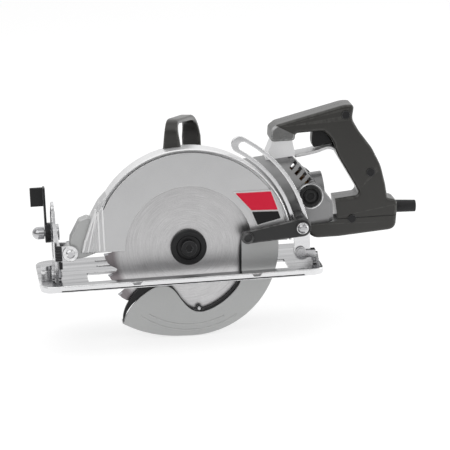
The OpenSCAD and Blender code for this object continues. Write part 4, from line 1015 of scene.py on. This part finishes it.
def makeDepthLever():
    d = depthLever
    bolt, tip, hub, far = d["bolt"], d["tip"], d["hub"], d["far"]
    hole = arc(bolt, d["bore"], 0, 350, 36)
    flanks = hullOfTwo(bolt, hub, tip, d["half"])
    arm = plateMesh("leverArm", [flanks, hole], d["near"], far, roundBy=d["armRound"])
    ring = arc(bolt, hub - d["hubInset"], 0, 352, 44)
    boss = plateMesh("leverBoss", [ring, hole], far - d["overlap"], d["hubFar"], roundBy=d["hubRound"])
    stand("depthLever", [arm, boss, latheMesh("leverPad", d["pad"], tip, 48)], darkCast, ["depth_lever"])


makeDepthLever()
print("depth lever made")

# depth pivot: a bolt with a washer on each side, and a ridged stop on the bracket beside it
depthPivot = dict(
    middle=(-128.0, 34.0),
    half=[(0, 16.2), (3.2, 16.2), (4.5, 15.4), (4.9, 14.5), (4.9, 13.7), (8.1, 13.7), (8.5, 13.3),
        (8.5, 12.3), (4.0, 12.3)],
    stop=dict(x=(-144.6, -137.0), y=(-15.6, -12.3), z=(27.0, 43.5), ridges=5, gap=0.8, core=0.9, short=0.3),
    foot=dict(x=(-141.2, -137.0), y=(-14.2, -12.3), z=(17.6, 25.6)), corner=0.6, roundBy=0.5)


def makeDepthPivot():
    d = depthPivot
    stop, foot = d["stop"], d["foot"]
    profile = [(r, -y) for r, y in d["half"]] + d["half"][::-1]
    stand("pivotBolt", latheMesh("pivotBolt", profile, d["middle"], 64), brightSteel, ["depth_pivot_pin"], 30)
    (x0, x1), (y0, y1), (z0, z1) = stop["x"], stop["y"], stop["z"]
    tall = (z1 - z0 + stop["gap"]) / stop["ridges"]
    core, short = stop["core"], stop["short"]
    blocks = [boxMesh("stopCore", (x0 + core, y0 + core, z0 + short), (x1, y1, z1 - short))]
    ridge, tab = (roundOff(rectangle(form["x"], form["y"]), d["corner"], 4) for form in (stop, foot))
    for base in (z0 + tall * i for i in range(stop["ridges"])):
        blocks.append(plateMesh("stopRidge", [ridge], base, base + tall - stop["gap"], "xy", d["roundBy"]))
    blocks.append(plateMesh("stopTab", [tab], *foot["z"], "xy", d["roundBy"]))
    stand("pivotStop", blocks, blackPaint, body=bodyOf["bevel_bracket"])


makeDepthPivot()

# depth link: a slotted arc of bright strip
depthLink = dict(
    middle=(-3.145, 29.647), radius=126.343, half=9.0, start=-5.82, end=60.19, slotHalf=4.8, slotStart=7.9,
    slotEnd=58.19, pin=(121.0, 17.0), pinBore=3.06, near=-6.0, far=-2.0)


def bandOutline(half, start, end, steps=60):
    # outline of an arc strip with round ends
    middle, radius = depthLink["middle"], depthLink["radius"]
    first, last = polar(middle, radius, start), polar(middle, radius, end)
    outer = arc(middle, radius + half, start, end, steps)
    inner = arc(middle, radius - half, end, start, steps)
    return (outer + arc(last, half, end, end + 180, 16)[1:-1]
            + inner + arc(first, half, start + 180, start + 360, 16)[1:-1])


def makeDepthLink():
    d = depthLink
    lines = [bandOutline(d["half"], d["start"], d["end"]),
             bandOutline(d["slotHalf"], d["slotStart"], d["slotEnd"]),
             arc(d["pin"], d["pinBore"], 0, 350, 36)]
    # the link takes the paler steel as painted highlight
    stand("linkStrip", plateMesh("linkStrip", lines, d["near"], d["far"]), highlightSteel, ["depth_link"])


makeDepthLink()
print("depth link made")

# foot: plate with the blade slot, a turned-up edge with two sight notches, pressed beads and the fence boss
footPlate = dict(
    front=-163.0, rear=141.0, near=-47.0, far=95.0, corner=22.0, thick=3.0, slotX=(-110.0, 106.0),
    slotY=(-16.0, 23.0), slotCorner=2.0, edge=7.0, edgeLow=0.02, edgeWide=3.0, edgeBack=-12.0,
    edgeRound=1.0, notches=[-60.5, 68.0],
    notch=dict(topHalf=6.4, lowHalf=3.4, deep=3.8, rise=0.5, clear=2.0),
    boss=dict(spot=(-153.0, 30.0), radius=6.0, bore=3.06, root=1.0, top=8.0, roundBy=0.6),
    beads=[((-88, -33.5), (96, -33.5)), ((-95, 52), (100, 52)), ((-95, 76), (100, 76))],
    beadHalf=(2.6, 2.59), beadSpan=(1.8, 4.1), beadRound=1.0)


def edgeLine(inset):
    # the near side of the foot's outline, moved inward
    f = footPlate
    left, right, low, bend = f["front"] + inset, f["rear"] - inset, f["near"] + inset, f["corner"] - inset
    corners = [(left, f["edgeBack"], 0), (left, low, bend), (right, low, bend), (right, f["edgeBack"], 0)]
    return eased(corners, 14)


def makeFoot():
    f = footPlate
    boss, notch, edgeTop, wide = f["boss"], f["notch"], f["edge"], f["edgeWide"]
    outline = roundOff(rectangle((f["front"], f["rear"]), (f["near"], f["far"])), f["corner"], 14)
    slot = roundOff(rectangle(f["slotX"], f["slotY"]), f["slotCorner"])
    parts = [plateMesh("footSheet", [outline, slot], 0, f["thick"], "xy")]
    band = edgeLine(0) + edgeLine(wide)[::-1]
    edge = plateMesh("footEdge", [band], f["edgeLow"], edgeTop, "xy", f["edgeRound"])
    cutters = []
    for x in f["notches"]:
        high, low = edgeTop + notch["rise"], edgeTop - notch["deep"]
        bowl = [(x - notch["topHalf"], high), (x - notch["lowHalf"], low), (x + notch["lowHalf"], low),
                (x + notch["topHalf"], high)]
        near, far = f["near"] - notch["clear"], f["near"] + wide + notch["clear"]
        cutters.append(plateMesh("sightNotch", [bowl], near, far, roundBy=0))
    edge = carved(edge, cutters)
    rings = [arc(boss["spot"], boss["radius"], 0, 352, 44), arc(boss["spot"], boss["bore"], 0, 350, 36)]
    parts.append(plateMesh("fenceBoss", rings, boss["root"], boss["top"], "xy", boss["roundBy"]))
    startHalf, endHalf = f["beadHalf"]
    for start, end in f["beads"]:
        line = hullOfTwo(start, startHalf, end, endHalf)
        parts.append(plateMesh("footBead", [line], *f["beadSpan"], "xy", f["beadRound"]))
    stand("footSheet", parts, footSteel, ["foot_plate"])
    # the turned-up edge takes the paler steel as painted highlight
    stand("footEdge", edge, highlightSteel, body=bodyOf["foot_plate"])


makeFoot()
print("foot made")

# floor, sky and lamps: metres, but for the floor's height in millimetres
stage = dict(
    floor=-67.5, size=14.0, lit=0.8, seen=0.42, glow=0.69, pale=(-1.0, -0.45), paleLow=0.25,
    sky=(0.5, 1.15), skySpan=(0.0, 0.8),
    skyStops=[(0.0, 0.3), (0.46, 0.34), (0.54, 0.6), (0.72, 0.95), (1.0, 1.0)],
    lamps=dict(  # place, aim, size and power
        keyLamp=((-0.9, -1.5, 1.5), (0.03, 0, 0.04), (2.2, 1.8), 13.0),
        fillLamp=((1.5, -1.4, 0.8), (0.03, 0, 0.04), (1.8, 1.6), 4.5),
        topLamp=((0.0, 0.2, 1.9), (0.03, 0, 0.04), (2.4, 1.8), 8.0),
        rimLamp=((1.7, 0.9, 1.1), (0.1, 0, 0.06), (1.6, 1.2), 6.0),
        stripLamp=((1.9, 0.3, 0.12), (0.15, 0.04, 0.09), (0.35, 0.9), 5.0)),
)


def emptyTree(owner):
    owner.use_nodes = True
    owner.node_tree.nodes.clear()
    return owner.node_tree


def makeFloor():
    # pale to the camera with the shadow kept; in metal and glass it falls off toward the near side
    material = bpy.data.materials.new("studioFloor")
    tree = emptyTree(material)
    path = addNode(tree, "LightPath").outputs
    away = addNode(tree, "SeparateXYZ", {0: placeOf(tree)}).outputs[1]
    fall = ranged(tree, away, stage["pale"], (stage["paleLow"], 1.0), "SMOOTHSTEP")
    share = combine(tree, "MAXIMUM", fall, path["Is Camera Ray"])
    power = combine(tree, "MULTIPLY", share, stage["glow"])
    glow = addNode(tree, "Emission", {"Color": opaque(1.0), "Strength": power}).outputs[0]
    plain, dim = (addNode(tree, "BsdfDiffuse", {"Color": opaque(stage[k])}).outputs[0]
                  for k in ("lit", "seen"))
    pale = addNode(tree, "AddShader", {0: dim, 1: glow}).outputs[0]
    shown = combine(tree, "MAXIMUM", path["Is Camera Ray"], path["Is Glossy Ray"])
    shown = combine(tree, "MAXIMUM", shown, path["Is Transmission Ray"])
    surface = addNode(tree, "MixShader", {0: shown, 1: plain, 2: pale}).outputs[0]
    addNode(tree, "OutputMaterial", {"Surface": surface})
    half, level = stage["size"] / 2, stage["floor"] * mm
    bm = bmesh.new()
    bm.faces.new([bm.verts.new((x, y, level)) for x, y in rectangle((-half, half), (-half, half))])
    floor = finishPiece("studioFloor", meshOf("studioFloor", bm), material, 80, False)


def makeSky():
    # darker below and brighter above, and stronger behind the saw
    scene.world = bpy.data.worlds.new("studioSky")
    tree = emptyTree(scene.world)
    way = addNode(tree, "TexCoord").outputs["Generated"]
    split = addNode(tree, "SeparateXYZ", {0: way}).outputs
    ramp = addNode(tree, "ValToRGB", {0: ranged(tree, split[2], (-1.0, 1.0))})
    stops = ramp.color_ramp.elements
    while len(stops) < len(stage["skyStops"]):
        stops.new(0.5)
    for stop, (spot, value) in zip(stops, stage["skyStops"]):
        stop.position, stop.color = spot, opaque(value)
    strength = ranged(tree, split[1], stage["skySpan"], stage["sky"], "SMOOTHSTEP")
    lit = addNode(tree, "Background", {"Color": ramp.outputs[0], "Strength": strength}).outputs[0]
    addNode(tree, "OutputWorld", {"Surface": lit})


def addLamp(name, spot, aim, size, power):
    lamp = bpy.data.lights.new(name, "AREA")
    lamp.shape, lamp.size, lamp.size_y, lamp.energy = "RECTANGLE", *size, power
    holder = bpy.data.objects.new(name, lamp)
    holder.location = spot
    holder.rotation_euler = (Vector(aim) - Vector(spot)).to_track_quat("-Z", "Y").to_euler()
    scene.collection.objects.link(holder)


makeFloor()
makeSky()
for lampName, lampValues in stage["lamps"].items():
    addLamp(lampName, *lampValues)
print("stage set")
